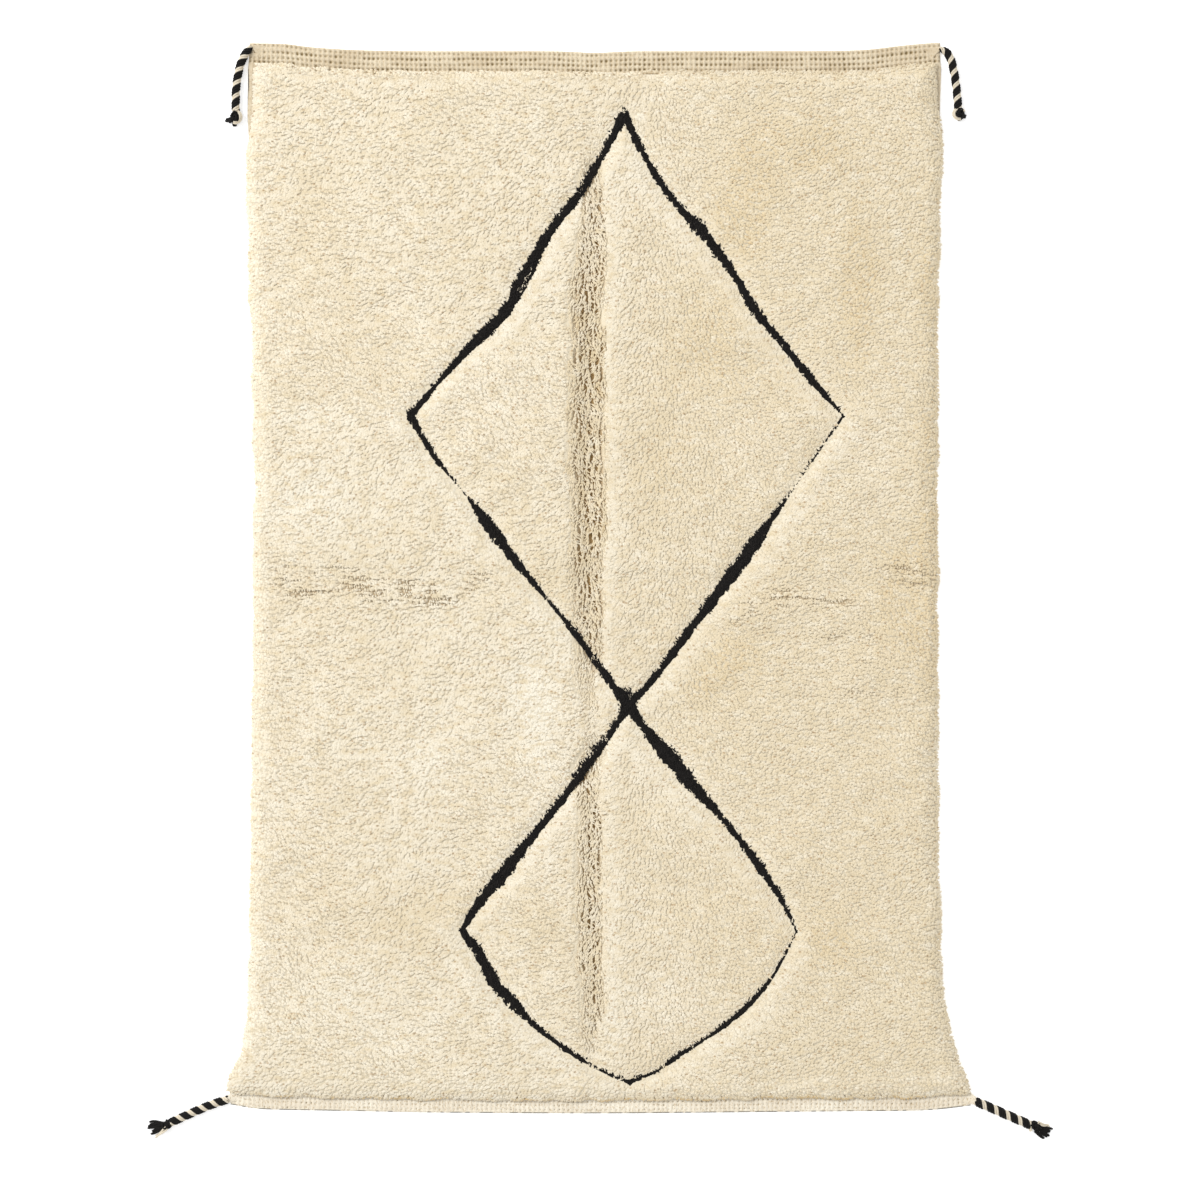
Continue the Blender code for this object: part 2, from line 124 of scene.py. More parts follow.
def soft_noise(x, y, patch, seed):
    """Smooth random numbers from -1 to 1: one is drawn for each corner of a net whose meshes are patch wide,
    and between the corners they are blended with 3 t^2 - 2 t^3."""
    net = np.random.default_rng(seed).uniform(-1, 1, (NOISE_NET, NOISE_NET))
    u, v = x / patch, y / patch
    i, j = np.floor(u).astype(int), np.floor(v).astype(int)
    s, t = u - i, v - j
    s, t = s * s * (3 - 2 * s), t * t * (3 - 2 * t)
    i, j = i % NOISE_NET, j % NOISE_NET
    i_after, j_after = (i + 1) % NOISE_NET, (j + 1) % NOISE_NET
    low = net[i, j] * (1 - s) + net[i_after, j] * s
    high = net[i, j_after] * (1 - s) + net[i_after, j_after] * s
    return low * (1 - t) + high * t


# %% Faces of a grid, and shells made one
def grid_faces(rows, columns, closed=False):
    """Four-sided faces of a grid of points; a closed one joins its last column to its first."""
    i, j = np.meshgrid(np.arange(rows - 1), np.arange(columns if closed else columns - 1), indexing="ij")
    after = (j + 1) % columns
    corners = (i * columns + j, i * columns + after, (i + 1) * columns + after, (i + 1) * columns + j)
    return np.stack(corners, axis=-1).reshape(-1, 4)


def join_shells(shells):
    """One shell of several: their points one after the other, with the faces' numbers moved up to match."""
    starts = np.cumsum([0] + [len(shell["points"]) for shell in shells])[:-1]
    joined = {key: np.concatenate([shell[key] for shell in shells])
              for key in ("points", "quad_places", "triangle_places")}
    joined["quads"] = np.concatenate([s["quads"] + start for s, start in zip(shells, starts)])
    joined["triangles"] = np.concatenate([s["triangles"] + start for s, start in zip(shells, starts)])
    joined["marks"] = {key: np.concatenate([shell["marks"][key] for shell in shells])
                       for key in shells[0]["marks"]}
    return joined


# %% A shell made a piece of the object
def make_piece(name, shell, material, uv_name, smooth=True):
    """Puts a shell's arrays into a mesh, with its marks as attributes, and lets it ride on the rug's body."""
    quads, triangles = shell["quads"], shell["triangles"]
    sizes = np.concatenate([np.full(len(quads), 4), np.full(len(triangles), 3)])
    mesh = bpy.data.meshes.new(name)
    mesh.vertices.add(len(shell["points"]))
    mesh.vertices.foreach_set("co", np.ascontiguousarray(shell["points"], np.float32).ravel())
    mesh.loops.add(int(sizes.sum()))
    corners = np.concatenate([quads.ravel(), triangles.ravel()])
    mesh.loops.foreach_set("vertex_index", corners.astype(np.int32))
    mesh.polygons.add(len(sizes))
    mesh.polygons.foreach_set("loop_start", (np.cumsum(sizes) - sizes).astype(np.int32))
    mesh.polygons.foreach_set("use_smooth", np.full(len(sizes), smooth))
    for key, values in shell["marks"].items():
        layer = mesh.attributes.new(key, "FLOAT", "POINT")
        layer.data.foreach_set("value", np.ascontiguousarray(values, np.float32))
    places = np.concatenate([shell["quad_places"].reshape(-1, 2), shell["triangle_places"].reshape(-1, 2)])
    mesh.uv_layers.new(name=uv_name).data.foreach_set("uv", places.astype(np.float32).ravel())
    mesh.update(calc_edges=True)
    mesh.validate()
    mesh.materials.append(material)
    piece = bpy.data.objects.new(name, mesh)
    bpy.context.scene.collection.objects.link(piece)
    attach(piece, "root")
    print(name, "triangles", 2 * len(quads) + len(triangles))
    return piece


# %% [markdown]
# ## Wool
# All of the rug is wool: soft, matt, with a faint sheen from the fibres that stand off the yarn. Blender's
# hair could draw every fibre, but an exported model keeps no hair, so colour and a fine bump stand for the
# fibres. One function makes the shader for every piece, and each piece mixes its own colours into it from the
# same few blocks: a mark or a noise, spread over a range, decides how much of a second colour lies over the
# first. The fibres' fine grain runs along the yarns and the tufts through their UV maps.


# %% Building blocks for the wool's nodes
def add_node(tree, kind, **settings):
    """A shader node with these settings."""
    made = tree.nodes.new(kind)
    for key, value in settings.items():
        setattr(made, key, value)
    return made


def read_mark(tree, name):
    """The value of a mark, as the Attribute node gives it."""
    return add_node(tree, "ShaderNodeAttribute", attribute_name=name).outputs["Fac"]


def scaled_noise(tree, place, scale, detail, roughness=0.5):
    """Noise on a place, stretched by a different scale along each axis."""
    mapping = add_node(tree, "ShaderNodeMapping")
    mapping.inputs["Scale"].default_value = scale
    tree.links.new(place, mapping.inputs["Vector"])
    noise = add_node(tree, "ShaderNodeTexNoise")
    noise.inputs["Scale"].default_value = 1.0
    noise.inputs["Detail"].default_value = detail
    noise.inputs["Roughness"].default_value = roughness
    tree.links.new(mapping.outputs["Vector"], noise.inputs["Vector"])
    return noise.outputs["Fac"]


def spread(tree, value, low, high, to_low=0.0, to_high=1.0):
    """Maps low..high to to_low..to_high, held at both ends."""
    ranged = add_node(tree, "ShaderNodeMapRange", clamp=True)
    for key, number in (("From Min", low), ("From Max", high), ("To Min", to_low), ("To Max", to_high)):
        ranged.inputs[key].default_value = number
    tree.links.new(value, ranged.inputs["Value"])
    return ranged.outputs["Result"]


def mix_colour(tree, share, first, second, mode="MIX"):
    """Two colours or sockets mixed by a share."""
    mix = add_node(tree, "ShaderNodeMix", data_type="RGBA", blend_type=mode)
    sockets = {s.identifier: s for s in mix.inputs}
    for key, value in (("Factor_Float", share), ("A_Color", first), ("B_Color", second)):
        if isinstance(value, bpy.types.NodeSocket):
            tree.links.new(value, sockets[key])
        elif isinstance(value, tuple):
            sockets[key].default_value = (*value, 1.0)
        else:
            sockets[key].default_value = value
    return next(s for s in mix.outputs if s.identifier == "Result_Color")


# %% Wool's shader
WOOL_ROUGH = 0.92
GLOSS = 0.2
SHEEN = 0.25
SHEEN_ROUGH = 0.5
DARK_FINISH = {"sheen": 0.05, "gloss": 0.06}    # black wool shows less of both, or it would look grey


def wool_shader(name, sheen=SHEEN, gloss=GLOSS):
    """A new material with a matt, faintly sheened shader: its tree, the shader and the material."""
    material = bpy.data.materials.new(name)
    material.use_nodes = True
    tree = material.node_tree
    shader = tree.nodes["Principled BSDF"]
    shader.inputs["Roughness"].default_value = WOOL_ROUGH
    shader.inputs["Specular IOR Level"].default_value = gloss
    shader.inputs["Sheen Weight"].default_value = sheen
    shader.inputs["Sheen Roughness"].default_value = SHEEN_ROUGH
    return tree, shader, material


def add_bump(tree, shader, height, strength, deep):
    """Lets a height in 0..1 disturb the shader's normal as if it were deep metres high."""
    bump = add_node(tree, "ShaderNodeBump")
    bump.inputs["Strength"].default_value = strength
    bump.inputs["Distance"].default_value = deep
    tree.links.new(height, bump.inputs["Height"])
    tree.links.new(bump.outputs["Normal"], shader.inputs["Normal"])


# %% [markdown]
# ## The corner cords
# Each cord is the corner's warp ends laid up with black yarn: two plies, one black and one cream, in a Z
# twist, so from any side the slant runs like the middle stroke of the letter. The black ply is three yarns
# and the cream one two. Every yarn is a thin tube that winds round the cord's middle, where a core fills the
# space that they leave. One thick tube in two colours would lack the valleys between the yarns. The routes
# repeat the solids' own.


# %% Routes and sizes of the cords
UP = np.array([0.0, 0.0, 1.0])
# Lengths are in metres and first_turn in whole turns. Start_thin is the share of its thickness that a cord
# starts with. Loops are cream turns round the knot, each with its side and the degrees that it starts and
# stops at. Ends are the cut yarns: how far beside the knot's middle each comes out, its lean to that side,
# its length and thickness, and its wool.
CORD_COLUMNS = ("thick", "pitch", "first_turn", "start_thin", "knot_long", "knot_wide",
                "route", "loops", "ends")
CORDS = {
    "head_left": (0.019, 0.031, -0.25, 0.55, 0.030, 0.029,
                  ((-0.8104, 1.2306), (-0.8208, 1.2175), (-0.8286, 1.2048), (-0.8351, 1.1896),
                   (-0.8413, 1.1640), (-0.8452, 1.1375), (-0.8466, 1.1099), (-0.8464, 1.0804)),
                  ((1, -115, 115),),
                  ((-0.0060, -8.0, 0.0100, 0.0080, "black"), (-0.0050, -2.2, 0.0050, 0.0075, "black"),
                   (-0.0040, 0.05, 0.0070, 0.0078, "black"))),
    "head_right": (0.019, 0.030, 0.48, 0.55, 0.027, 0.029,
                   ((0.7802, 1.2251), (0.7906, 1.2210), (0.8001, 1.2127), (0.8065, 1.2007),
                    (0.8114, 1.1836), (0.8171, 1.1537), (0.8210, 1.1214), (0.8240, 1.0863)),
                   ((-1, -115, 105), (1, -100, -15)),
                   ((0.0020, 0.05, 0.0030, 0.0078, "black"), (0.0040, 5.0, 0.0050, 0.0068, "black"))),
    "foot_left": (0.020, 0.0285, -0.36, 0.94, 0.026, 0.027,
                  ((-0.8641, -1.2041), (-0.8743, -1.2069), (-0.8907, -1.2120), (-0.9079, -1.2182),
                   (-0.9344, -1.2293), (-0.9610, -1.2412), (-0.9872, -1.2532), (-0.9967, -1.2578)),
                  (),
                  ((-0.0065, -0.46, 0.0290, 0.0078, "black"), (0.0000, -0.32, 0.0320, 0.0082, "black"),
                   (0.0055, -0.12, 0.0300, 0.0078, "black"), (0.0060, 0.26, 0.0300, 0.0062, "cream"))),
    "foot_right": (0.021, 0.030, 0.03, 0.94, 0.027, 0.029,
                   ((0.8637, -1.2083), (0.8750, -1.2134), (0.8865, -1.2180), (0.8996, -1.2235),
                    (0.9264, -1.2355), (0.9531, -1.2470), (0.9780, -1.2578), (0.9895, -1.2629)),
                   ((-1, -80, -25),),
                   ((-0.0080, -0.18, 0.0240, 0.0082, "black"), (-0.0005, -0.04, 0.0290, 0.0088, "black"),
                    (0.0070, 0.04, 0.0280, 0.0080, "black"), (0.0130, 0.05, 0.0230, 0.0055, "cream"))),
}
CORD_STEP = 0.0019          # from ring to ring along a cord's yarns


def cord_size(cord, name):
    """What a cord's row holds in the column of this name."""
    return cord[CORD_COLUMNS.index(name)]


# %% A smooth line through a route
ROUTE_FINE = 20             # points worked out between two of the route's own


def smooth_route(points, step):
    """Points about every step along the curve that passes through all the route's points, and how far along
    each of them is. Each stretch of the curve is
    1/2 (2 b + (c - a) t + (2 a - 5 b + 4 c - d) t^2 + (3 b - a - 3 c + d) t^3)."""
    knots = np.array(points)
    knots = np.vstack([2 * knots[0] - knots[1], knots, 2 * knots[-1] - knots[-2]])
    t = np.linspace(0, 1, ROUTE_FINE, endpoint=False)[:, None, None]
    a, b, c, d = knots[:-3], knots[1:-2], knots[2:-1], knots[3:]
    fine = 0.5 * (2 * b + (c - a) * t + (2 * a - 5 * b + 4 * c - d) * t**2
                  + (3 * b - a - 3 * c + d) * t**3)
    fine = np.vstack([fine.transpose(1, 0, 2).reshape(-1, knots.shape[1]), knots[-2]])
    gone = gone_along(fine)
    along = np.linspace(0, gone[-1], max(2, round(gone[-1] / step)) + 1)
    even = np.stack([np.interp(along, gone, column) for column in fine.T], axis=1)
    return even, along


# %% A yarn as a tube along a line
YARN_GRAIN = 0.010          # length of yarn that one unit of its UV map stands for
CAP_REACH = 0.1             # how far past the yarn's end its caps reach in the map


def yarn_tube(path, radius, sides, toward, cream):
    """A closed tube: ring i is path_i + radius_i (cos a n_i + sin a b_i), where n_i is square to the path on
    the side of toward and b_i = t_i x n_i. Both ends close on a point in their middle."""
    count = len(path)
    along = unit(np.gradient(path, axis=0))
    first_side = unit(toward - (toward * along).sum(1, keepdims=True) * along)
    next_side = np.cross(along, first_side)
    angle = np.linspace(0, 2 * np.pi, sides, endpoint=False)[None, :, None]
    out = first_side[:, None] * np.cos(angle) + next_side[:, None] * np.sin(angle)
    rings = path[:, None] + out * radius[:, None, None]
    points = np.vstack([rings.reshape(-1, 3), path[:1], path[-1:]])

    j = np.arange(sides)
    after = (j + 1) % sides
    first, last = count * sides, count * sides + 1
    row = (count - 1) * sides
    triangles = np.vstack([np.stack([np.full(sides, first), after, j], axis=1),
                           np.stack([np.full(sides, last), row + j, row + after], axis=1)])

    gone = gone_along(path) / YARN_GRAIN
    i, k = np.meshgrid(np.arange(count - 1), j, indexing="ij")
    u_low, u_high = k / sides, (k + 1) / sides
    quad_corners = ((u_low, gone[i]), (u_high, gone[i]), (u_high, gone[i + 1]), (u_low, gone[i + 1]))
    u, v = np.tile(j / sides, 2), np.repeat([0, gone[-1]], sides)
    cap_corners = ((u, v), (u + 0.5 / sides, v + CAP_REACH), (u + 1 / sides, v))
    quad_places = np.stack([np.stack(corner, axis=-1) for corner in quad_corners], axis=-2)
    return {"points": points, "quads": grid_faces(count, sides, closed=True), "triangles": triangles,
            "quad_places": quad_places.reshape(-1, 4, 2),
            "triangle_places": np.stack([np.stack(corner, axis=-1) for corner in cap_corners], axis=1),
            "marks": {"cream": np.full(len(points), float(cream))}}


# %% Yarns laid round a line
CORD_LAY = (0, 0, 0, 1, 1)  # wool of each yarn round a cord: three black, then two cream
KNOT_LAY = (0, 0, 0, 0)     # and round a knot's bundle
YARN_SIDES = 8
CORE_SIDES = 6
# As shares of the cord's thickness: a yarn's radius, the ring that the yarns lie on and the core's radius.
YARN_RADIUS = 0.147
YARN_RING = 0.352
CORE_RADIUS = 0.302
START_LONG = 0.018          # a cord is thin where it leaves the cloth and full this far on
BLACK_SWELL = 1.12          # the black yarns bulge, the cream ones lie a little deeper
CREAM_SWELL = 0.93
RING_SWELL = 0.6            # how much of that also moves a yarn out or in


def laid_yarns(path, along, thick, pitch, first_turn, lay):
    """Every yarn round a line: middle + ring (cos f level + sin f upward), where yarn n of the lay has turned
    f = tau (first_turn + (n - 1) / count + along / pitch). With along growing, f turns to the left, which
    gives a Z twist."""
    heading = unit(np.gradient(path, axis=0))
    level = unit(np.cross(UP, heading))
    upward = np.cross(heading, level)
    thick = thick * np.ones(len(path))
    shells = []
    for n, cream in enumerate(lay):
        angle = 2 * np.pi * (first_turn + (n - 1) / len(lay) + along / pitch)[:, None]
        out = level * np.cos(angle) + upward * np.sin(angle)
        swell = CREAM_SWELL if cream else BLACK_SWELL
        ring = YARN_RING * (1 - RING_SWELL + RING_SWELL * swell) * thick
        radius = YARN_RADIUS * thick * swell
        shells.append(yarn_tube(path + out * ring[:, None], radius, YARN_SIDES, out, cream))
    shells.append(yarn_tube(path, CORE_RADIUS * thick, CORE_SIDES, level, 0))
    return shells


# %% Black and cream wool of the cords
CORD_FIBRES = (14.0, 3.0, 1.0)                  # how fine the fibres are round and along a yarn
CORD_CREAM = ((0.60, 0.51, 0.37), (0.80, 0.74, 0.62))           # between the fibres and on them
CORD_BLACK = ((0.004, 0.004, 0.004), (0.022, 0.020, 0.019))

tree, shader, cord_wool = wool_shader("cord_wool", **DARK_FINISH)
uv_place = add_node(tree, "ShaderNodeUVMap", uv_map="yarn").outputs["UV"]
fibres = scaled_noise(tree, uv_place, CORD_FIBRES, 3.0, 0.6)
is_cream = read_mark(tree, "cream")
cream_shade = mix_colour(tree, fibres, *CORD_CREAM)
black_shade = mix_colour(tree, fibres, *CORD_BLACK)
tree.links.new(mix_colour(tree, is_cream, black_shade, cream_shade), shader.inputs["Base Color"])
add_bump(tree, shader, fibres, strength=0.7, deep=0.0008)

# %% Cords
YARN_LOWEST = 0.0002        # no yarn lies lower than this above the floor

cord_pieces, cord_lines = {}, {}
for corner, cord in CORDS.items():
    thick = cord_size(cord, "thick")
    level_line, along = smooth_route(cord_size(cord, "route"), CORD_STEP)
    line = np.column_stack([level_line, np.full(len(along), thick / 2)])
    start_thin = cord_size(cord, "start_thin")
    grown = start_thin + (1 - start_thin) * np.minimum(1, along / START_LONG)
    yarns_shell = join_shells(laid_yarns(line, along, thick * grown, cord_size(cord, "pitch"),
                                         cord_size(cord, "first_turn"), CORD_LAY))
    yarns_shell["points"][:, 2] = np.maximum(yarns_shell["points"][:, 2], YARN_LOWEST)
    piece = make_piece("cord_yarns_" + corner, yarns_shell, cord_wool, "yarn")
    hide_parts("cord_" + corner)
    cord_pieces[corner] = piece
    cord_lines[corner] = (line, along)
    print("cord", corner, "is", round(float(along[-1]), 4), "m long")

# %% [markdown]
# ## The knots
# Each cord ends in an overhand knot pulled tight, with its yarns cut a little past it. An overhand knot is a
# trefoil that has been cut open: (sin t + 2 sin 2t, cos t - 2 cos 2t, -sin 3t). A bundle of black yarns is
# carried along that line. A curve could be tied by hand as well, but the formula fits every knot's own size.
# On three of the knots cream yarns turn round a side, and on the knots of the foot a cream end comes out too.
# The cut ends fan out on the floor.

# %% One knot
KNOT_STEPS = 84
TREFOIL_GAP = 0.30          # radians left open where the cord comes in and the ends go out
TREFOIL_REACH = 3.0         # outermost radius of the formula's own curve
TREFOIL_RISE = 0.40         # how far its strands pass over and under, as a share of the bundle's thickness
BUNDLE_THICK = 0.45         # a bundle's thickness, as a share of the knot's width
BUNDLE_PITCH = 0.050
LOOP_STEPS = 34
LOOP_APART = 0.34           # how far out and in a loop's two yarns lie, as a share of their thickness
ENDS_SIDES = 7
ENDS_STEPS = 16


def knot_line(long, wide):
    """The bundle's line through the knot, in the knot's own level axes: from the cord in, round the trefoil
    and out again. Heights are above the knot's middle."""
    t = np.linspace(np.pi + TREFOIL_GAP, 3 * np.pi - TREFOIL_GAP, KNOT_STEPS)
    bundle = BUNDLE_THICK * wide
    return np.stack([(np.sin(t) + 2 * np.sin(2 * t)) / TREFOIL_REACH * (long - bundle) / 2,
                     (np.cos(t) - 2 * np.cos(2 * t)) / TREFOIL_REACH * (wide - bundle) / 2,
                     -np.sin(3 * t) * bundle * TREFOIL_RISE], axis=1)


def cream_loop(middle, heading, sideways, knot_size, thick, from_degrees, to_degrees):
    """The cream yarns' turn round one side of the knot: part of an ellipse a little smaller than the knot,
    two yarns beside each other, the inner one a little higher."""
    long, wide = knot_size
    turn = np.radians(np.linspace(from_degrees, to_degrees, LOOP_STEPS))[:, None]
    way = (sideways * np.cos(turn) * (wide / 2 - 0.5 * thick)
           + heading * np.sin(turn) * (long / 2 - 0.4 * thick))
    yarns = []
    for out in (-LOOP_APART, LOOP_APART):
        high = thick * (0.4 - 0.8 * out + 0.25 * np.cos(turn))
        path = middle + way + unit(way) * out * thick + UP * high
        yarns.append(yarn_tube(path, np.full(len(turn), thick * 0.5), ENDS_SIDES, way, 1))
    return yarns


def cut_end(root, way, long, thick, cream, seed):
    """A cut yarn end: two strands side by side from the knot down to the floor, wavering a little, thicker
    towards the cut and rounded off at it. The cream ones stay high at first, where they cross the black."""
    draw = np.random.default_rng(seed)
    share = np.linspace(0, 1, ENDS_STEPS)[:, None]
    across = np.array([-way[1], way[0], 0.0])
    sink = np.minimum(1, share * 1.3) ** (2.4 if cream else 1.3)
    radius = thick * 0.38 * (1 + 0.20 * share[:, 0] ** 3) * np.sqrt(1 - 0.75 * share[:, 0] ** 10)
    strands = []
    for beside in (-1, 1):
        waver, swing = draw.uniform(0, 6.3), draw.uniform(0.02, 0.05)
        aside = thick * beside * (0.24 + 0.10 * share**2) + long * swing * np.sin(5 * share + waver)
        path = root + way * long * share * draw.uniform(0.90, 1.04)
        path = path + across * aside + UP * ((thick * 0.45 - root[2]) * sink)
        strands.append(yarn_tube(path, radius, ENDS_SIDES, np.tile(UP, (ENDS_STEPS, 1)), cream))
    return strands


# %% Knots
CREAM_THICK = 0.0046
BLACK_NARROW = 0.84         # the black bundle leaves room for a loop at its side
BLACK_ASIDE = 0.09
KNOT_AHEAD = 0.46           # how far past its cord a knot's middle lies, as a share of its length
KNOT_HIGH = 0.93            # and how high, as a share of its bundle's thickness
ENDS_AHEAD = 0.12           # where the cut ends start past the middle, as a share of the knot's length
ENDS_HIDDEN = 0.32          # how much of them the knot hides, as the same share
CREAM_OVER = 0.55           # the cream ends start this share of a bundle above the black ones

for order, (corner, cord) in enumerate(CORDS.items()):
    thick, long, wide = (cord_size(cord, key) for key in ("thick", "knot_long", "knot_wide"))
    line, along = cord_lines[corner]
    heading = unit(line[-1] - line[-2])
    sideways = np.array([-heading[1], heading[0], 0.0])
    bundle = BUNDLE_THICK * wide
    local = knot_line(long, wide)
    loops = cord_size(cord, "loops")
    if loops:
        local[:, 1] = local[:, 1] * BLACK_NARROW - loops[0][0] * BLACK_ASIDE * wide
    middle = line[-1] + heading * long * KNOT_AHEAD
    middle[2] = bundle * KNOT_HIGH
    knot_path = middle + local[:, :1] * heading + local[:, 1:2] * sideways + local[:, 2:] * UP
    shells = laid_yarns(knot_path, gone_along(knot_path), bundle, BUNDLE_PITCH, 0.2 + 0.17 * order, KNOT_LAY)
    for loop_side, *degrees in loops:
        shells += cream_loop(middle, heading, sideways * loop_side, (long, wide), CREAM_THICK, *degrees)
    for k, (aside, lean, end_long, end_thick, wool) in enumerate(cord_size(cord, "ends")):
        way = unit(heading + sideways * lean)
        root = middle + heading * long * ENDS_AHEAD + sideways * aside
        if wool == "cream":
            root = root - heading * long * ENDS_AHEAD + UP * bundle * CREAM_OVER
        end_long = end_long + long * ENDS_HIDDEN
        shells += cut_end(root, way, end_long, end_thick, wool == "cream", 10 * order + k)
    knot_shell = join_shells(shells)
    knot_shell["points"][:, 2] = np.maximum(knot_shell["points"][:, 2], YARN_LOWEST)
    knot = make_piece("knot_yarns_" + corner, knot_shell, cord_wool, "yarn")
    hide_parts("knot_" + corner)

# %% [markdown]
# ## The outline
# The rug isn't a rectangle: it is drawn in at its waist and spreads at the foot, its head sags a little
# between the corners and its foot bows out. Two short tables hold that, one read down the sides and one
# across the ends, with smooth curves between the rows. They repeat the solids' own. A bent rectangle would
# be shorter to write, but a table is easier to set against a real rug.

# %% Sides, ends and bands
# Both long edges, read along the rug, and how wide a selvedge lies bare beside the pile.
SIDE_COLUMNS = ("along", "left", "right", "reveal_left", "reveal_right")
SIDES = (
    (1.230, -0.815, 0.784, 0.011, 0.009), (1.195, -0.817, 0.785, 0.011, 0.009),
    (1.161, -0.820, 0.788, 0.011, 0.009), (1.103, -0.822, 0.788, 0.011, 0.007),
    (1.034, -0.820, 0.788, 0.007, 0.000), (0.965, -0.818, 0.787, 0.000, 0.000),
    (0.872, -0.816, 0.782, 0.000, 0.000), (0.642, -0.810, 0.777, 0.000, 0.000),
    (0.365, -0.802, 0.776, 0.000, 0.000), (0.043, -0.801, 0.775, 0.000, 0.000),
    (-0.372, -0.805, 0.777, 0.000, 0.000), (-0.695, -0.807, 0.779, 0.000, 0.000),
    (-0.879, -0.811, 0.784, 0.000, 0.000), (-0.972, -0.813, 0.791, 0.000, 0.000),
    (-1.018, -0.816, 0.798, 0.000, 0.000), (-1.052, -0.822, 0.807, 0.000, 0.000),
    (-1.087, -0.830, 0.819, 0.000, 0.000), (-1.121, -0.843, 0.829, 0.000, 0.000),
    (-1.156, -0.856, 0.842, 0.000, 0.000), (-1.184, -0.861, 0.850, 0.000, 0.000),
    (-1.225, -0.858, 0.853, 0.000, 0.000),
)
# How far the head's and the foot's edges stand from the middle, read across the rug.
END_COLUMNS = ("across", "head", "foot")
ENDS = (
    (-0.860, 1.235, -1.214), (-0.800, 1.234, -1.224), (-0.730, 1.232, -1.227), (-0.673, 1.225, -1.228),
    (-0.558, 1.218, -1.230), (-0.396, 1.216, -1.233), (-0.004, 1.216, -1.235), (0.364, 1.216, -1.232),
    (0.595, 1.218, -1.230), (0.710, 1.230, -1.229), (0.775, 1.235, -1.226), (0.860, 1.235, -1.216),
)
# The bands lie lower than the pile and so look shorter from above: their edges stand this much further out.
BAND_OUT = {"head": 0.005, "foot": -0.0025}
HEAD_DIP = (-0.017, 0.060, 0.004)           # the head's edge dips at the long fold: place, width, depth
HEAD_BAND = 0.053           # widths of the bare bands
FOOT_BAND = 0.0365
PILE_IN = {"left": 0.001, "right": 0.004}   # how far inside the outline the pile's walls stand
BARE_IN = 0.009             # and inside a bare selvedge
SELVEDGE_IN = 0.010         # how far inside the outline the selvedges lie where the pile hides them
FULL_REVEAL = 0.011         # a selvedge this wide is all bare
BARE_CORNER = 0.033         # this far up from the foot the selvedges lie bare on the outline again
BARE_FADE = 0.020
# The pile's walls waver: patch and distance of each waver, at the sides and at the ends.
RIM_WAVERS = ((0.050, 0.0034), (0.018, 0.0015))
END_WAVER = (0.028, 0.0035)


def side(name, along):
    """One column of the sides' table at places along the rug."""
    return curve_through(SIDES, SIDE_COLUMNS.index(name), along)


def end(name, across):
    """Where the head's or the foot's outer edge runs, from the ends' table."""
    edge = curve_through(ENDS, END_COLUMNS.index(name), across) + BAND_OUT[name]
    middle, wide, deep = HEAD_DIP
    return edge - deep * hill(across - middle, wide) if name == "head" else edge


def pile_sides(along):
    """Where the pile's left and right walls stand: near the outline, or past the bare selvedge, and wavering
    a little."""
    walls = []
    for number, (name, inward) in enumerate((("left", 1), ("right", -1))):
        waver = sum(swing * soft_noise(along, 0 * along, patch, 33 + number)
                    for patch, swing in RIM_WAVERS)
        reveal = side("reveal_" + name, along)
        inset = PILE_IN[name] + (BARE_IN - PILE_IN[name]) * np.clip(reveal / FULL_REVEAL, 0, 1)
        walls.append(side(name, along) + inward * (reveal + inset + waver))
    return walls


def pile_ends(across):
    """Where the pile's walls at the foot and at the head stand, wavering a little over the woven bands."""
    patch, swing = END_WAVER
    foot_waver, head_waver = (swing * soft_noise(across, 0 * across, patch, seed) for seed in (36, 37))
    return end("foot", across) + FOOT_BAND + foot_waver, end("head", across) - HEAD_BAND + head_waver


def cloth_sides(along):
    """The selvedges' outer edges. Where the pile's rim hides them, they lie under it."""
    edges = []
    for name, inward in (("left", 1), ("right", -1)):
        reveal = np.maximum(0.0, side("reveal_" + name, along))
        hidden = SELVEDGE_IN * (1 - np.minimum(1.0, reveal / FULL_REVEAL))
        covered = np.clip((along - ENDS[0][2] - BARE_CORNER) / BARE_FADE, 0, 1)
        edges.append(side(name, along) + inward * hidden * covered)
    return edges


# %% [markdown]
# ## The woven ground
# Under the pile lies the ground that it is knotted into, and it shows at both ends as a bare flat-woven band
# and in a few places as a selvedge. It is one closed sheet, 7 mm thick. Its upper surface is a fine grid in
# the bands, where the warps make ribs and the loose wefts of the head leave rows of small holes between
# them, and a coarse one under the pile. A bump in the material could show the ribs, but not the holes, so
# all of it is in the mesh. The height is weave = ribs + wefts - holes.


# %% The weave's height
WEAVE_THICK = 0.007
WARP_PITCH = 0.0110         # from rib to rib
WEFT_PITCH = 0.0058
WEAVE_WAVER = 0.0016        # how far the threads wander
RIB_HIGH = 0.0013
WEFT_HIGH = 0.0006
# Rows of holes: how far each is from the edge, and how open its holes are.
HEAD_HOLES = ((0.0078, 0.80), (0.0198, 1.15), (0.0320, 1.00), (0.0440, 0.95))
FOOT_HOLES = ((0.0085, 0.70), (0.0180, 0.80), (0.0275, 0.75))
HOLE_WIDE = (0.0034, 0.0036)                    # half widths across and along
FOOT_NARROW = 0.52          # the foot's holes are this share as wide
HOLE_DEEP = 0.0050
HOLE_SAG = 0.0014           # how far a row of holes sags
LOOSE_PART = (-0.80, 0.10, 2.2)                 # where the weave is looser, how wide that part is, how much


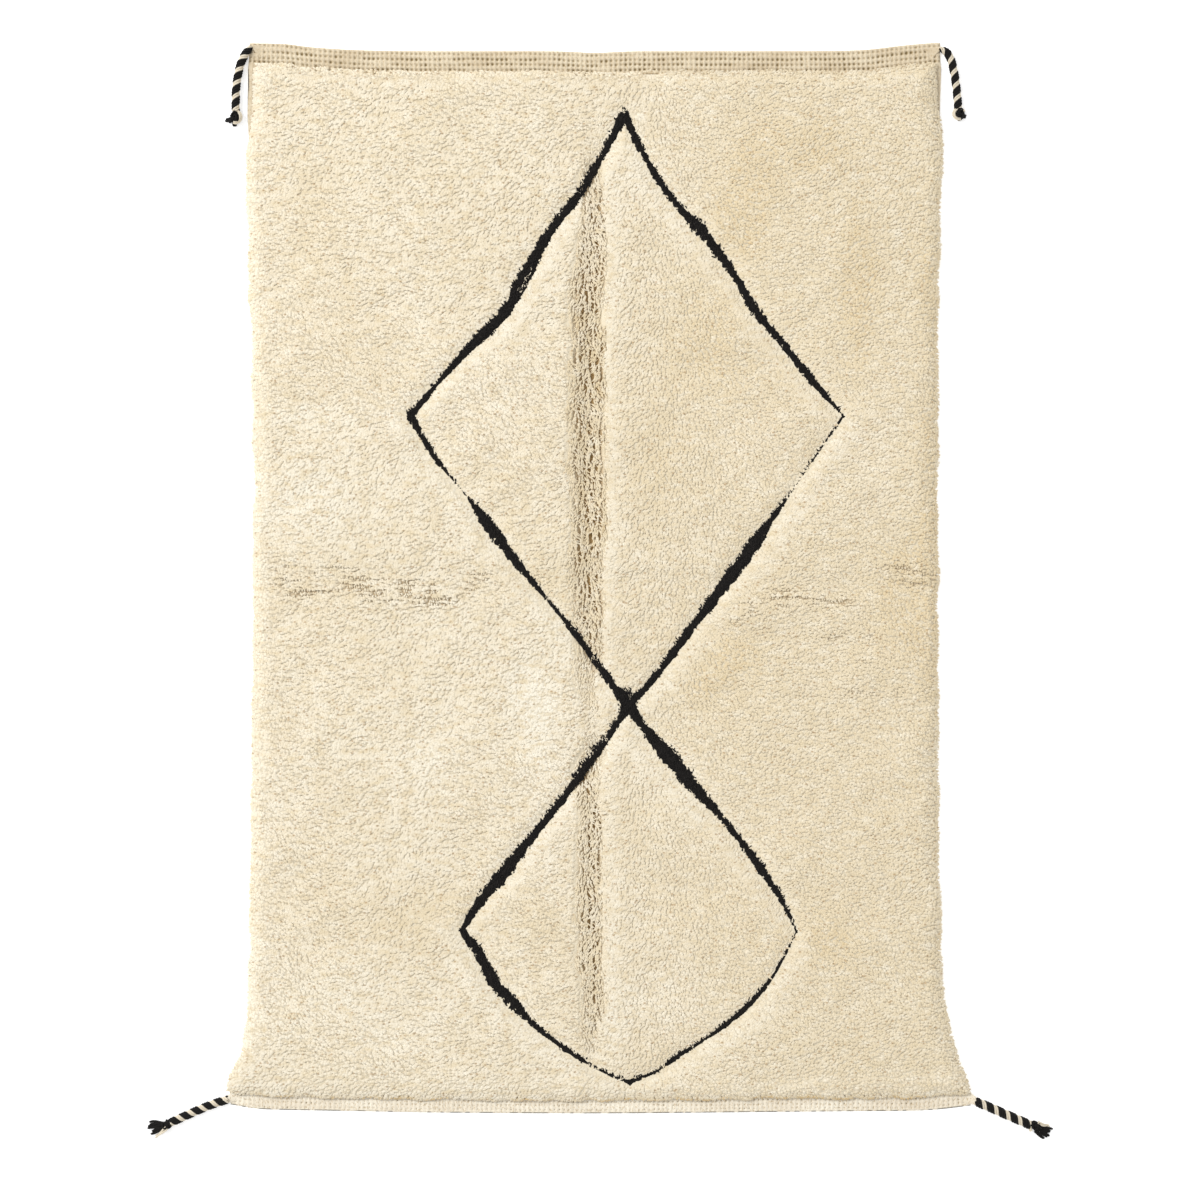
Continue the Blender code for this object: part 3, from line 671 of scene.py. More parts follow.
def weave_relief(across, inset, at_head):
    """How much lower than a full yarn a band's surface is, and how much of a hole each place is:
    low = rib high x groove + weft high x (1 - weft) + hole deep x hole, with the holes in the grooves."""
    middle, wide, more = LOOSE_PART
    loose = 1 + more * hill(across - middle, wide)
    waver = WEAVE_WAVER * loose * soft_noise(across, inset, 0.05, 5)
    groove = 0.5 + 0.5 * np.cos(2 * np.pi * (across + waver) / WARP_PITCH)
    weft = 0.5 + 0.5 * np.cos(2 * np.pi * (inset + waver) / WEFT_PITCH)
    off = (across + waver + 0.5 * WARP_PITCH) % WARP_PITCH - 0.5 * WARP_PITCH
    rows, narrow = (HEAD_HOLES, 1.0) if at_head else (FOOT_HOLES, FOOT_NARROW)
    hole = np.zeros_like(across)
    for row, (place, share) in enumerate(rows):
        size = share * (0.82 + 0.50 * soft_noise(across, inset, 0.014, 20 + row))
        sag = HOLE_SAG * loose * soft_noise(across, 0 * across, 0.06, 30 + row)
        here = hill(off, narrow * HOLE_WIDE[0]) * hill(inset - place - sag, narrow * HOLE_WIDE[1])
        hole = np.maximum(hole, size * here)
    low = RIB_HIGH * groove + WEFT_HIGH * (1 - weft) + HOLE_DEEP * np.minimum(hole, 1)
    return low, hole


# %% A cloth closed round a grid
def wrap_cloth(top, under_rows, floor_high):
    """Points and faces of a closed sheet: the rows of a grid run on round the far edge and back underneath,
    where only some of them are kept, and a strip of triangles closes each side."""
    rows, columns = top.shape[:2]
    under = top[under_rows[::-1]].copy()
    under[..., 2] = floor_high
    loop = np.concatenate([top, under, top[:1]])
    quads = grid_faces(len(loop), columns) % ((rows + len(under)) * columns)
    i = np.arange(rows - 1)
    below = np.searchsorted(under_rows, i, side="right") - 1
    below_after = np.searchsorted(under_rows, i + 1, side="right") - 1
    turn = below != below_after
    number = rows + len(under_rows) - 1 - np.stack([below, below_after])
    triangles = []
    for column in (0, columns - 1):
        top_low, top_high = i * columns + column, (i + 1) * columns + column
        low, high = number * columns + column
        strip = np.vstack([np.stack([top_low, top_high, low], axis=1),
                           np.stack([top_high, high, low], axis=1)[turn]])
        triangles.append(strip if column == 0 else strip[:, ::-1])
    return loop[:-1].reshape(-1, 3), quads, np.vstack(triangles)


def cloth_shell(top, under_rows, floor_high, marks):
    """The closed sheet as a shell. Its UV places are its own level ones, in metres."""
    points, quads, triangles = wrap_cloth(top, under_rows, floor_high)
    unmarked = np.zeros(len(points) - top.shape[0] * top.shape[1])
    full = {key: np.concatenate([values.ravel(), unmarked]) for key, values in marks.items()}
    return {"points": points, "quads": quads, "triangles": triangles, "marks": full,
            "quad_places": points[quads][..., :2], "triangle_places": points[triangles][..., :2]}


# %% Ground
GROUND_COLUMNS = 616
BAND_STEP = 0.0022
TUCK = 0.010                # how far the fine grid runs on under the pile
MIDDLE_ROWS = 34
MIDDLE_CROWD = 1.6          # how much closer the rows under the pile stand near the foot, where it flares
FLARE_ROWS = 9              # of these rows, the ones in the flare; there the underside keeps every one
UNDER_EVERY = 8             # elsewhere it keeps one row in so many
UNDER_PILE = 0.001          # how much lower the surface is under the pile
THREAD_OVER = 0.0004        # how much higher than the cloth's thickness a full yarn stands
GROUND_LOWEST = 0.0008      # the deepest hole still has this much cloth under it
MEAN_SIDES = (-0.81, 0.78)
EDGE_ROUND = (0.0016, 0.0035)                   # width and depth of the rounding along the bands' edges
EDGE_LINE_HALF = 0.0027        # half the width of the dark line along the foot's edge


def by_band(row_shares, at_foot, at_head, between):
    """What holds in the rows of the foot's band (share 0), of the head's (share 1) and between them."""
    share = row_shares[:, None]
    return np.where(share == 0, at_foot, np.where(share == 1, at_head, between))


def level_places(row_shares, row_insets, column_shares, low_in, high_in, sides):
    """Level places of a grid that fills the outline and is bent with its edges. The rows of the bands lie at
    foot + inset and at head + inset, and the others at low + (high - low) share, where low and high are
    low_in and high_in inside the ends. In each row across = left + (right - left) share."""
    across = np.interp(column_shares, [0, 1], MEAN_SIDES)[None] + 0 * row_shares[:, None]
    for _ in range(3):
        foot, head = end("foot", across), end("head", across)
        low, high = foot + low_in, head - high_in
        along = by_band(row_shares, foot + row_insets[:, None], head + row_insets[:, None],
                        low + (high - low) * row_shares[:, None])
        left, right = sides(along)
        across = left + (right - left) * column_shares[None]
    return across, along


foot_insets = np.arange(0, FOOT_BAND + TUCK, BAND_STEP)
head_insets = np.arange(0, HEAD_BAND + TUCK, BAND_STEP)
middle_shares = np.linspace(0, 1, MIDDLE_ROWS + 2)[1:-1] ** MIDDLE_CROWD
row_shares = np.concatenate([np.zeros(len(foot_insets)), middle_shares, np.ones(len(head_insets))])
row_insets = np.concatenate([foot_insets, np.zeros(MIDDLE_ROWS), -head_insets[::-1]])
ground_across, ground_along = level_places(row_shares, row_insets, np.linspace(0, 1, GROUND_COLUMNS),
                                           FOOT_BAND + TUCK, HEAD_BAND + TUCK, cloth_sides)
from_foot = ground_along - end("foot", ground_across)
from_head = end("head", ground_across) - ground_along
foot_low, foot_hole = weave_relief(ground_across, from_foot, at_head=False)
head_low, head_hole = weave_relief(ground_across, from_head, at_head=True)
lowered = by_band(row_shares, foot_low, head_low, UNDER_PILE)
hole_mark = by_band(row_shares, foot_hole, head_hole, 0.0)
# A dark line runs along the foot's edge, in broken stretches.
broken = np.clip(0.85 + 1.5 * soft_noise(ground_across, 0 * from_foot, 0.010, 8), 0, 1)
edge_mark = broken * hill(from_foot, EDGE_LINE_HALF)
edge_drop = EDGE_ROUND[1] * (hill(from_foot, EDGE_ROUND[0]) + hill(from_head, EDGE_ROUND[0]))
ground_high = np.maximum(WEAVE_THICK + THREAD_OVER - lowered - edge_drop, GROUND_LOWEST)
ground_top = np.stack([ground_across, ground_along, ground_high], axis=-1)
half_step = UNDER_EVERY // 2
under_rows = np.unique(np.concatenate([[0, len(row_shares) - 1],
                                       np.arange(half_step, len(row_shares) - half_step, UNDER_EVERY),
                                       len(foot_insets) + np.arange(FLARE_ROWS)]))

# %% The ground's wool
FOOT_SHADE = (0.88, 0.815, 0.68)
HEAD_SHADE = (0.735, 0.64, 0.475)
STAIN_SHADE = (0.55, 0.43, 0.29)
FLECK_SHADE = (0.52, 0.40, 0.24)
HOLE_PAINTED_SHADE = (0.27, 0.195, 0.09)
EDGE_LINE_DARK = (0.030, 0.022, 0.015)
STAINED = 0.35

tree, shader, ground_wool = wool_shader("ground_wool")
object_place = add_node(tree, "ShaderNodeTexCoord").outputs["Object"]
thread = scaled_noise(tree, object_place, (900.0, 260.0, 1.0), 3.0, 0.6)
patches = scaled_noise(tree, object_place, (9.0, 30.0, 1.0), 3.0)
axes = add_node(tree, "ShaderNodeSeparateXYZ")
tree.links.new(object_place, axes.inputs["Vector"])
head_part = spread(tree, axes.outputs["Y"], 0.9, 1.0)
band_shade = mix_colour(tree, head_part, FOOT_SHADE, HEAD_SHADE)
stained = mix_colour(tree, spread(tree, patches, 0.3, 0.7), band_shade, STAIN_SHADE, "MULTIPLY")
patchy = mix_colour(tree, STAINED, band_shade, stained)
flecks = scaled_noise(tree, object_place, (300.0, 150.0, 1.0), 2.0, 0.6)
flecked = mix_colour(tree, spread(tree, flecks, 0.54, 0.64, 0.0, 0.75), patchy, FLECK_SHADE)
# Painted shade: the holes are coloured dark brown, for the shade inside them.
holed = mix_colour(tree, spread(tree, read_mark(tree, "hole"), 0.15, 0.90), flecked, HOLE_PAINTED_SHADE)
edge_line_share = spread(tree, read_mark(tree, "edge"), 0.25, 0.70, 0.0, 0.9)
tree.links.new(mix_colour(tree, edge_line_share, holed, EDGE_LINE_DARK), shader.inputs["Base Color"])
add_bump(tree, shader, thread, strength=0.5, deep=0.0006)

ground_shell = cloth_shell(ground_top, under_rows, 0.0, {"hole": hole_mark, "edge": edge_mark})
ground = make_piece("ground", ground_shell, ground_wool, "cloth")
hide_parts("rug")

# %% Warps drawn together at the corners
GATHER_LONG = 0.030         # how far inside the corner the warps start to draw together
GATHER_WIDE = 0.014         # and how far to each side they then lie
GATHER_LOW = 0.0030         # they start under the cloth's surface and come up out of it
GATHER_YARNS = 9
GATHER_THICK = 0.0052
GATHER_THIN = 0.25          # how much thinner they are at their far end
GATHER_STEPS = 14
GATHER_SIDES = 6
# How far over the cord the warps run, how wide they lie there and how high above its middle.
GATHER_OVER = {"head": (0.004, 0.0040, 0.002), "foot": (0.012, 0.0075, 0.0085)}
INWARD = (0.9, 0.42)        # from a corner to where its warps come from, towards the rug's middle

gathers = []
for corner in CORDS:
    line, _ = cord_lines[corner]
    start, heading = line[0], unit(line[1] - line[0])
    inward = unit(-np.sign(start * (1, 1, 0)) * (*INWARD, 0))
    share = np.linspace(0, 1, GATHER_STEPS)[:, None]
    over, spread_out, raised = GATHER_OVER[corner.split("_")[0]]
    for lean in np.linspace(-1, 1, GATHER_YARNS):
        beside_first = np.array([-inward[1], inward[0], 0]) * GATHER_WIDE * lean
        beside_last = np.array([heading[1], -heading[0], 0]) * spread_out * lean
        first = start * (1, 1, 0) + inward * GATHER_LONG + beside_first + UP * GATHER_LOW
        last = start + heading * over * (1 - 0.35 * lean**2) + beside_last + UP * raised * np.cos(1.4 * lean)
        turn_at = start * (1, 1, 0.8) + 0.6 * beside_last
        path = first * (1 - share) ** 2 + turn_at * 2 * share * (1 - share) + last * share**2
        radius = GATHER_THICK / 2 * (1 - GATHER_THIN * share[:, 0])
        tube = yarn_tube(path, radius, GATHER_SIDES, np.tile(UP, (GATHER_STEPS, 1)), 1)
        tube["marks"] = {key: np.zeros(len(tube["points"])) for key in ("hole", "edge")}
        gathers.append(tube)
gather = make_piece("corner_warps", join_shells(gathers), ground_wool, "yarn")

# %% [markdown]
# ## The lozenges
# The black lines are rows of black knots in the same pile: two lozenges, one above the other, whose sides
# meet and cross a little below the middle. Such a pattern is drawn by eye on the loom, so no side is quite
# straight and the lines swell and thin out. Each side runs from corner to corner with a slight bow. A colour
# laid over the pile would cut tufts in two, so each tuft is black or cream as a whole: black where it stands
# closer to the line than half its width.

# %% Corners, bows and widths of the lines
CORNERS = {
    "top": (0.0516, 1.0684), "left": (-0.4412, 0.3746), "right": (0.5569, 0.3746),
    "crossing": (0.0613, -0.2939), "low_left": (-0.3229, -0.8125), "low_right": (0.4488, -0.8148),
    "bottom": (0.0625, -1.1629),
}
# From, to, how far the line bows towards +X at each inner eighth, and how wide it is at both ends and at
# each eighth between them, in millimetres.
LINES = (
    ("top", "left", (12, 20, 16, 27, 38, 21, 8), (21, 20, 21, 20, 28, 29, 22, 10, 18)),
    ("top", "right", (-18, -24, -14, -11, -21, -15, -9), (20, 17, 18, 27, 22, 22, 18, 20, 6)),
    ("left", "crossing", (-13, -8, -8, -8, -3, 2, 0), (18, 14, 4, 27, 20, 8, 14, 18, 28)),
    ("right", "crossing", (3, 8, 10, 13, 12, 10, 10), (6, 4, 3, 21, 26, 22, 18, 17, 18)),
    ("crossing", "low_left", (4, 4, 6, 4, 1, -1, -6), (22, 14, 27, 17, 17, 22, 28, 25, 14)),
    ("crossing", "low_right", (-1, 6, 9, 18, 21, 20, 16), (28, 23, 36, 31, 17, 16, 20, 13, 4)),
    ("low_left", "bottom", (-14, -37, -45, -48, -45, -37, -23), (13, 25, 30, 27, 15, 11, 14, 6, 12)),
    ("low_right", "bottom", (26, 45, 52, 51, 43, 32, 24), (3, 6, 8, 11, 12, 6, 10, 7, 12)),
)
MILLIMETRE = 0.001
EIGHTHS = np.linspace(0, 1, 9)
# Round fillings of the crossing and of the top: middle across and along, and radius.
BLOBS = ((0.0625, -0.2965, 0.0210), (0.0580, -0.2690, 0.0140), (0.0516, 1.0660, 0.0130))
WIDTH_ROUGH = 0.24          # how much the width differs from knot to knot, as a share,
WIDTH_PATCH = 0.021         # and over what length


# %% Where a line runs and how wide it is
def line_frame(number):
    """Start, length and direction of the straight way between a line's corners, and the side towards +X."""
    start, stop = (np.array(CORNERS[name]) for name in LINES[number][:2])
    long = np.linalg.norm(stop - start)
    way = (stop - start) / long
    return start, long, way, np.array([-way[1], way[0]])


def line_sizes(number, share, long):
    """Bow and half width at a share of the way, in metres: smooth curves through the eighths, and the width
    roughened every two centimetres, because the knots are tied one by one."""
    bows, widths = LINES[number][2:]
    bow = MILLIMETRE * curve_through(tuple(zip(EIGHTHS, (0, *bows, 0))), 1, share)
    rough = 1 + WIDTH_ROUGH * soft_noise(share * long, 0 * share, WIDTH_PATCH, 40 + number)
    half = MILLIMETRE / 2 * curve_through(tuple(zip(EIGHTHS, widths)), 1, share)
    return bow, half * rough


def line_cover(across, along):
    """How far inside a black line a place is, in metres (negative outside), and which way is straight away
    from the line there: cover = half - |q - bow|, where q is the distance from the straight line between the
    corners, positive towards +X."""
    best = np.full(np.shape(across), -1.0)
    away = np.zeros(np.shape(across) + (2,))
    for number in range(len(LINES)):
        start, long, way, right = line_frame(number)
        off_across, off_along = across - start[0], along - start[1]
        share = (off_across * way[0] + off_along * way[1]) / long
        held = np.clip(share, 0, 1)
        off = off_across * right[0] + off_along * right[1]
        bow, half = line_sizes(number, held, long)
        cover = half - np.hypot(off - bow, (share - held) * long)
        nearer = cover > best
        best = np.where(nearer, cover, best)
        away = np.where(nearer[..., None], np.sign(off - bow)[..., None] * right, away)
    for middle_across, middle_along, radius in BLOBS:
        best = np.maximum(best, radius - np.hypot(across - middle_across, along - middle_along))
    return best, away


# %% [markdown]
# ## The top of the pile
# The pile isn't level. A long fold runs down the middle, where the rug was folded in two for its journey, and
# a few shallow ones run across. Slow lumps lie between them, and at the rim the pile turns over and hangs
# down its side. A cloth simulation could crease the rug, but not where its own folds are, so each fold is a
# trough with a place, depth and width. One function gives the height of the top at any place, also a little
# past the rim, and both the bed of the pile and every tuft read it.


# %% Folds, lumps and rim
# The long fold, read along the rug: where it runs, how deep and wide it is, and how much its tufts part.
FOLD_COLUMNS = ("along", "across", "deep", "wide", "parted")
FOLD = (
    (1.170, -0.012, 0.0000, 0.022, 0.00), (1.000, -0.014, 0.0026, 0.022, 0.18),
    (0.870, -0.020, 0.0050, 0.024, 0.46), (0.700, -0.026, 0.0085, 0.026, 0.72),
    (0.560, -0.026, 0.0100, 0.027, 1.00), (0.350, -0.027, 0.0110, 0.028, 1.00),
    (0.120, -0.028, 0.0098, 0.027, 1.00), (-0.040, -0.029, 0.0086, 0.026, 0.85),
    (-0.120, -0.028, 0.0076, 0.026, 0.55), (-0.220, -0.026, 0.0060, 0.025, 0.30),
    (-0.370, -0.022, 0.0045, 0.024, 0.25), (-0.490, -0.021, 0.0048, 0.024, 0.56),
    (-0.620, -0.021, 0.0052, 0.023, 0.68), (-0.900, -0.020, 0.0054, 0.023, 0.62),
    (-1.050, -0.018, 0.0046, 0.021, 0.34), (-1.150, -0.016, 0.0018, 0.020, 0.05),
)
# The slits side by side in its bottom: how many, the first one's place, their distance, and how they waver.
PARTINGS = 6
PARTING_FIRST = -0.0335
PARTING_PITCH = 0.0118
PARTING_WAVER = (0.026, 0.0050)                 # patch and distance
PARTING_WIDE = 0.0041       # how far from a slit's middle the tufts' own middles keep
# The pile swells to the right of the fold: how far from it, by what share of its depth, and how wide.
CREST_OFF = 0.068
CREST_SHARE = 0.27
CREST_WIDE = 0.045
# Shallow folds across the rug: from and to (across, along), depth and width. They fade past their ends.
CROSS_FOLDS = (
    (-0.800, 0.010, 0.780, -0.020, 0.0050, 0.027), (0.250, -0.120, 0.780, -0.165, 0.0030, 0.024),
    (0.300, -0.265, 0.780, -0.300, 0.0025, 0.024), (-0.800, 0.640, -0.150, 0.600, 0.0025, 0.030),
    (0.150, 0.480, 0.780, 0.520, 0.0020, 0.030), (-0.800, -0.690, 0.780, -0.740, 0.0025, 0.036),
)
CROSS_FADE = 0.15
# Thin slits in the pile along the creases that run across: from and to across, along, slope, how open.
SLITS = (
    (-0.760, -0.420, 0.032, -0.050, 0.60), (-0.780, -0.400, 0.018, -0.070, 0.85),
    (-0.790, -0.360, 0.004, -0.080, 0.95), (-0.780, -0.380, -0.012, -0.060, 0.75),
    (-0.760, -0.360, -0.026, -0.050, 0.95), (-0.740, -0.340, -0.040, -0.040, 0.70),
    (-0.520, -0.300, -0.012, -0.050, 1.00), (-0.500, -0.320, -0.052, 0.030, 0.85),
    (-0.330, -0.100, 0.012, 0.010, 0.55), (-0.320, -0.100, -0.006, 0.010, 0.60),
    (-0.300, -0.100, -0.024, 0.010, 0.55), (0.323, 0.457, -0.027, 0.000, 0.95),
    (0.330, 0.595, -0.036, -0.070, 1.00), (0.318, 0.434, -0.059, 0.010, 0.80),
    (0.330, 0.440, -0.082, 0.070, 0.85), (0.500, 0.600, -0.056, 0.000, 0.90),
    (0.641, 0.768, 0.024, -0.130, 0.90), (0.640, 0.756, 0.031, 0.000, 0.80),
    (0.676, 0.755, -0.006, -0.100, 0.90), (0.650, 0.710, -0.026, -0.100, 0.80),
    (0.500, 0.630, -0.134, 0.010, 0.75), (0.660, 0.755, -0.176, -0.020, 0.85),
    (0.490, 0.618, -0.190, -0.030, 0.65), (0.262, 0.340, -0.096, 0.000, 0.75),
    (0.226, 0.300, 0.010, -0.030, 0.60), (0.430, 0.740, -0.262, 0.000, 0.40),
)
SLIT_WIDE = 0.0034          # half the width of the gape that tufts end at
SLIT_BED = 0.0090           # half the width of the dark bed under a slit
SLIT_GAP = 0.0023           # how far from a slit's middle the tufts keep
SLIT_TURN = 0.0150          # how far from it the tufts lie along it
SLIT_WAVER = (0.038, 0.0045)                    # patch and distance
SLIT_FADE = 0.012           # how softly a slit begins and ends
# Patches of paler (above 0) and more tan wool: middle across and along, half sizes, share.
PATCHES = (
    (-0.143, -0.290, 0.070, 0.130, 1.00), (-0.640, 0.180, 0.160, 0.100, 0.45),
    (-0.410, -0.395, 0.110, 0.090, 0.45), (0.110, -0.990, 0.130, 0.080, 0.50),
    (-0.600, -0.970, 0.180, 0.120, 0.40), (0.295, 0.300, 0.060, 0.160, 0.20),
    (0.065, 0.895, 0.050, 0.100, 0.40), (0.620, 0.300, 0.100, 0.140, 0.35),
    (-0.670, 0.375, 0.110, 0.022, 0.50), (0.320, 0.860, 0.060, 0.100, -0.90),
    (0.455, 1.010, 0.110, 0.100, -0.60), (0.580, 0.665, 0.050, 0.180, -0.70),
    (0.260, -0.175, 0.080, 0.090, -0.80), (0.120, 0.240, 0.080, 0.140, -0.60),
    (0.690, -0.030, 0.100, 0.160, -0.70), (-0.143, 0.000, 0.100, 0.060, -0.70),
    (-0.430, -0.775, 0.150, 0.070, -0.80), (-0.143, -0.810, 0.070, 0.090, -0.60),
    (0.500, -0.830, 0.090, 0.070, -0.60), (-0.650, 0.780, 0.090, 0.140, -0.50),
    (-0.695, -0.030, 0.120, 0.050, -0.40), (0.760, 0.400, 0.050, 0.700, -0.45),
    (0.230, 0.520, 0.130, 0.160, -0.55),
)
HALVES_MEET = 0.10          # the pile lies to the left on this line's left, and to the right on its right
HALVES_SOFT = 0.20
RIGHT_PAINTED_SHADE = 0.52            # painted shade: the right half of the rug is a little darker all over, as light falls from the left
PATCH_RAGGED = 0.45         # how ragged the patches' edges are, as a share of their sizes
# The band of parted tufts: how far it reaches to both sides of the long fold where the fold is BAND_FULL
# wide, and how softly it ends on both sides.
BAND_SIDES = (-0.040, 0.029)
BAND_FULL = 0.027
BAND_SOFT = (0.0070, 0.0026)
# The pile lies smooth beside a black line, to some distance in full and then less and less, on the long
# fold's right flank, and along the left rim and the foot: distance, width and share of each.
SMOOTH_BELOW = (0.018, 0.026, 1.0)
SMOOTH_ABOVE = (0.010, 0.012, 0.5)
SMOOTH_FLANK = (0.052, 0.018, 1.0)
SMOOTH_LEFT = (0.0, 0.040, 0.9)
SMOOTH_FOOT = (0.0, 0.045, 0.75)
FLANK_FULL = 0.006          # a fold this deep has a smooth flank
GROOVE_DEEP = 0.0055        # the pile dips to the black lines, whose wool is a little shorter
GROOVE_WIDE = 0.017
# Slow lumps: wave length across and along, start of the wave in radians, and height.
LUMPS = ((0.520, 0.330, 0.4, 0.0022), (0.290, 0.210, 1.9, 0.0018), (0.170, 0.140, 3.1, 0.0013))
LUMP_WANDER = 1.1           # radians by which the waves wander, so that the lumps don't lie in rows
# The pile's rim in section: how far in from its wall, and how high the top is there.
RIM = ((-0.016, 0.004), (-0.010, 0.0085), (-0.006, 0.0125), (0.000, 0.0170), (0.008, 0.0220), (0.018, 0.0260),
       (0.030, 0.0290), (0.045, 0.0320))
OVER_BAND = 0.0095          # lowest place of the tufts that hang over a woven band


def fold(name, along):
    """One column of the long fold's table at places along the rug."""
    return curve_through(FOLD, FOLD_COLUMNS.index(name), along)


def right_share(across, soft):
    """How much a place belongs to the rug's right half, 0 to 1."""
    return 0.5 + 0.5 * np.tanh((across - HALVES_MEET) / soft)


def fold_band(across, along):
    """How much a place belongs to the band of short parted tufts in the long fold, 0 to 1."""
    waver = 0.009 * soft_noise(along, 0 * along, 0.055, 19) + 0.004 * soft_noise(along, across, 0.018, 20)
    off = (across - fold("across", along) + waver) * (BAND_FULL / fold("wide", along)) ** 2
    past_left = step_up(off, BAND_SIDES[0], BAND_SOFT[0])
    before_right = step_up(-off, -BAND_SIDES[1], BAND_SOFT[1])
    return np.clip(fold("parted", along) * 1.8, 0, 1) * past_left * before_right


def parting_lines(across, along):
    """The slits of the long fold: for each, how far a place is to its right, and how open it is there."""
    strength = fold("parted", along)
    patch, swing = PARTING_WAVER
    for number in range(PARTINGS):
        waver = swing * soft_noise(along, 0 * along, patch, 110 + number)
        off = across - fold("across", along) - PARTING_FIRST - PARTING_PITCH * number - waver
        broken = 1.5 * soft_noise(along, 0 * along, 0.019, 130 + number)
        open_share = np.clip(1.05 * strength - 0.70 + broken, 0, 1) * np.clip(4 * strength, 0, 1)
        yield off, open_share


def slit_lines(across, along):
    """The slits that run across: for each, how far a place is past it, and how open it is there."""
    patch, swing = SLIT_WAVER
    for row, (from_across, to_across, place, tilt, share) in enumerate(SLITS):
        waver = swing * soft_noise(across, 0 * across, patch, 60 + row)
        middle = place + tilt * (across - from_across) + waver
        inside = step_up(across, from_across, SLIT_FADE) * step_up(-across, -to_across, SLIT_FADE)
        broken = np.clip(0.50 + 1.5 * soft_noise(across, 0 * across, 0.030, 80 + row), 0, 1)
        yield along - middle, share * inside * broken


def step_off(level, lines, axis, wide):
    """Points moved off slits along one axis: a place at a distance d from a slit's middle moves away by
    r (1 - d / 2 r), where r is the open half width."""
    moved = level.copy()
    for off, open_share in lines(level[..., 0], level[..., 1]):
        keep_off = np.maximum(wide * open_share, 1e-6)
        moved[..., axis] += np.sign(off) * keep_off * np.clip(1 - np.abs(off) / (2 * keep_off), 0, 1)
    return moved


def slit_opening(across, along, wide):
    """How far the pile gapes in the slits that run across, 0 to 1."""
    opening = sum(open_share * hill(off, wide) for off, open_share in slit_lines(across, along))
    return np.minimum(opening, 1.0) * (1 - brushed(across, along))


def brushed(across, along):
    """How smoothly the pile lies, 0 to 1: beside the black lines, most on their lower side, on the right
    flank of the long fold, along the left rim and the foot and in the pale patches."""
    def part(off, distance, wide, share):
        return share * hill(off - distance, wide)

    cover, away = line_cover(across, along)
    below = part(np.maximum(-cover, SMOOTH_BELOW[0]), *SMOOTH_BELOW)
    above = part(np.maximum(-cover, SMOOTH_ABOVE[0]), *SMOOTH_ABOVE)
    beside = np.where(away[..., 1] < 0, below, above)
    flank = part(across - fold("across", along), *SMOOTH_FLANK)
    flank = flank * np.clip(fold("deep", along) / FLANK_FULL, 0, 1)
    left = part(across - pile_sides(along)[0], *SMOOTH_LEFT)
    foot = part(along - pile_ends(across)[0], *SMOOTH_FOOT)
    return np.clip(np.maximum.reduce([beside, flank, left, foot, tone(across, along)]), 0, 1)


def tone(across, along):
    """How much paler (towards 1) or more tan (towards -1) the wool is: from the patches, with painted shade
    over the right half.
    """
    whole = -RIGHT_PAINTED_SHADE * right_share(across, HALVES_SOFT)
    ragged_across = PATCH_RAGGED * soft_noise(along, across, 0.09, 71)
    ragged_along = PATCH_RAGGED * soft_noise(across, along, 0.11, 72)
    for middle_across, middle_along, half_across, half_along, share in PATCHES:
        away_across = (across - middle_across) / half_across + ragged_across
        away_along = (along - middle_along) / half_along + ragged_along
        whole = whole + share * np.exp(-(away_across**2 + away_along**2))
    return np.clip(whole, -1, 1)


def from_rim(across, along):
    """How far in from the nearest wall of the pile a place is; negative outside it."""
    left, right = pile_sides(along)
    low, high = pile_ends(across)
    return np.minimum.reduce([across - left, right - across, along - low, high - along])


def pile_top(across, along):
    """Height of the pile's top: mean height + lumps - long fold + its crest - cross folds - the black lines'
    grooves, and nowhere higher than the rim lets it be."""
    high = np.full(np.shape(across), PILE_HIGH)
    for wave_across, wave_along, offset, swing in LUMPS:
        turn_across = 2 * np.pi * across / wave_across + offset
        turn_along = 2 * np.pi * along / wave_along - offset
        high = high + (swing * np.sin(turn_across + LUMP_WANDER * np.sin(0.6 * turn_along))
                       * np.sin(turn_along + LUMP_WANDER * np.sin(0.7 * turn_across)))
    off, deep = across - fold("across", along), fold("deep", along)
    high = high - deep * hill(off, fold("wide", along))
    high = high + deep * CREST_SHARE * hill(off - CREST_OFF, CREST_WIDE)
    for from_across, from_along, to_across, to_along, trough, wide in CROSS_FOLDS:
        share = (across - from_across) / (to_across - from_across)
        middle = from_along + (to_along - from_along) * share
        fade = hill(np.maximum(0.0, np.maximum(-share, share - 1.0)), CROSS_FADE)
        high = high - trough * fade * hill(along - middle, wide)
    cover, _ = line_cover(across, along)
    high = high - GROOVE_DEEP * hill(np.maximum(0, -cover), GROOVE_WIDE)
    cap = curve_through(RIM, 1, from_rim(across, along))
    low, high_end = pile_ends(across)
    cap = np.where((along < low) | (along > high_end), np.maximum(cap, OVER_BAND), cap)
    return np.minimum(high, cap)


# %% [markdown]
# ## The bed of the pile
# Between the tufts one looks down on the lower part of the pile, where the yarns stand close and in shade. A
# slab that follows the top, some way below it, stands for that, so that no gap ever shows the ground. Its
# colour is painted darker than the tips for that shade, and darkest in the open folds and slits.


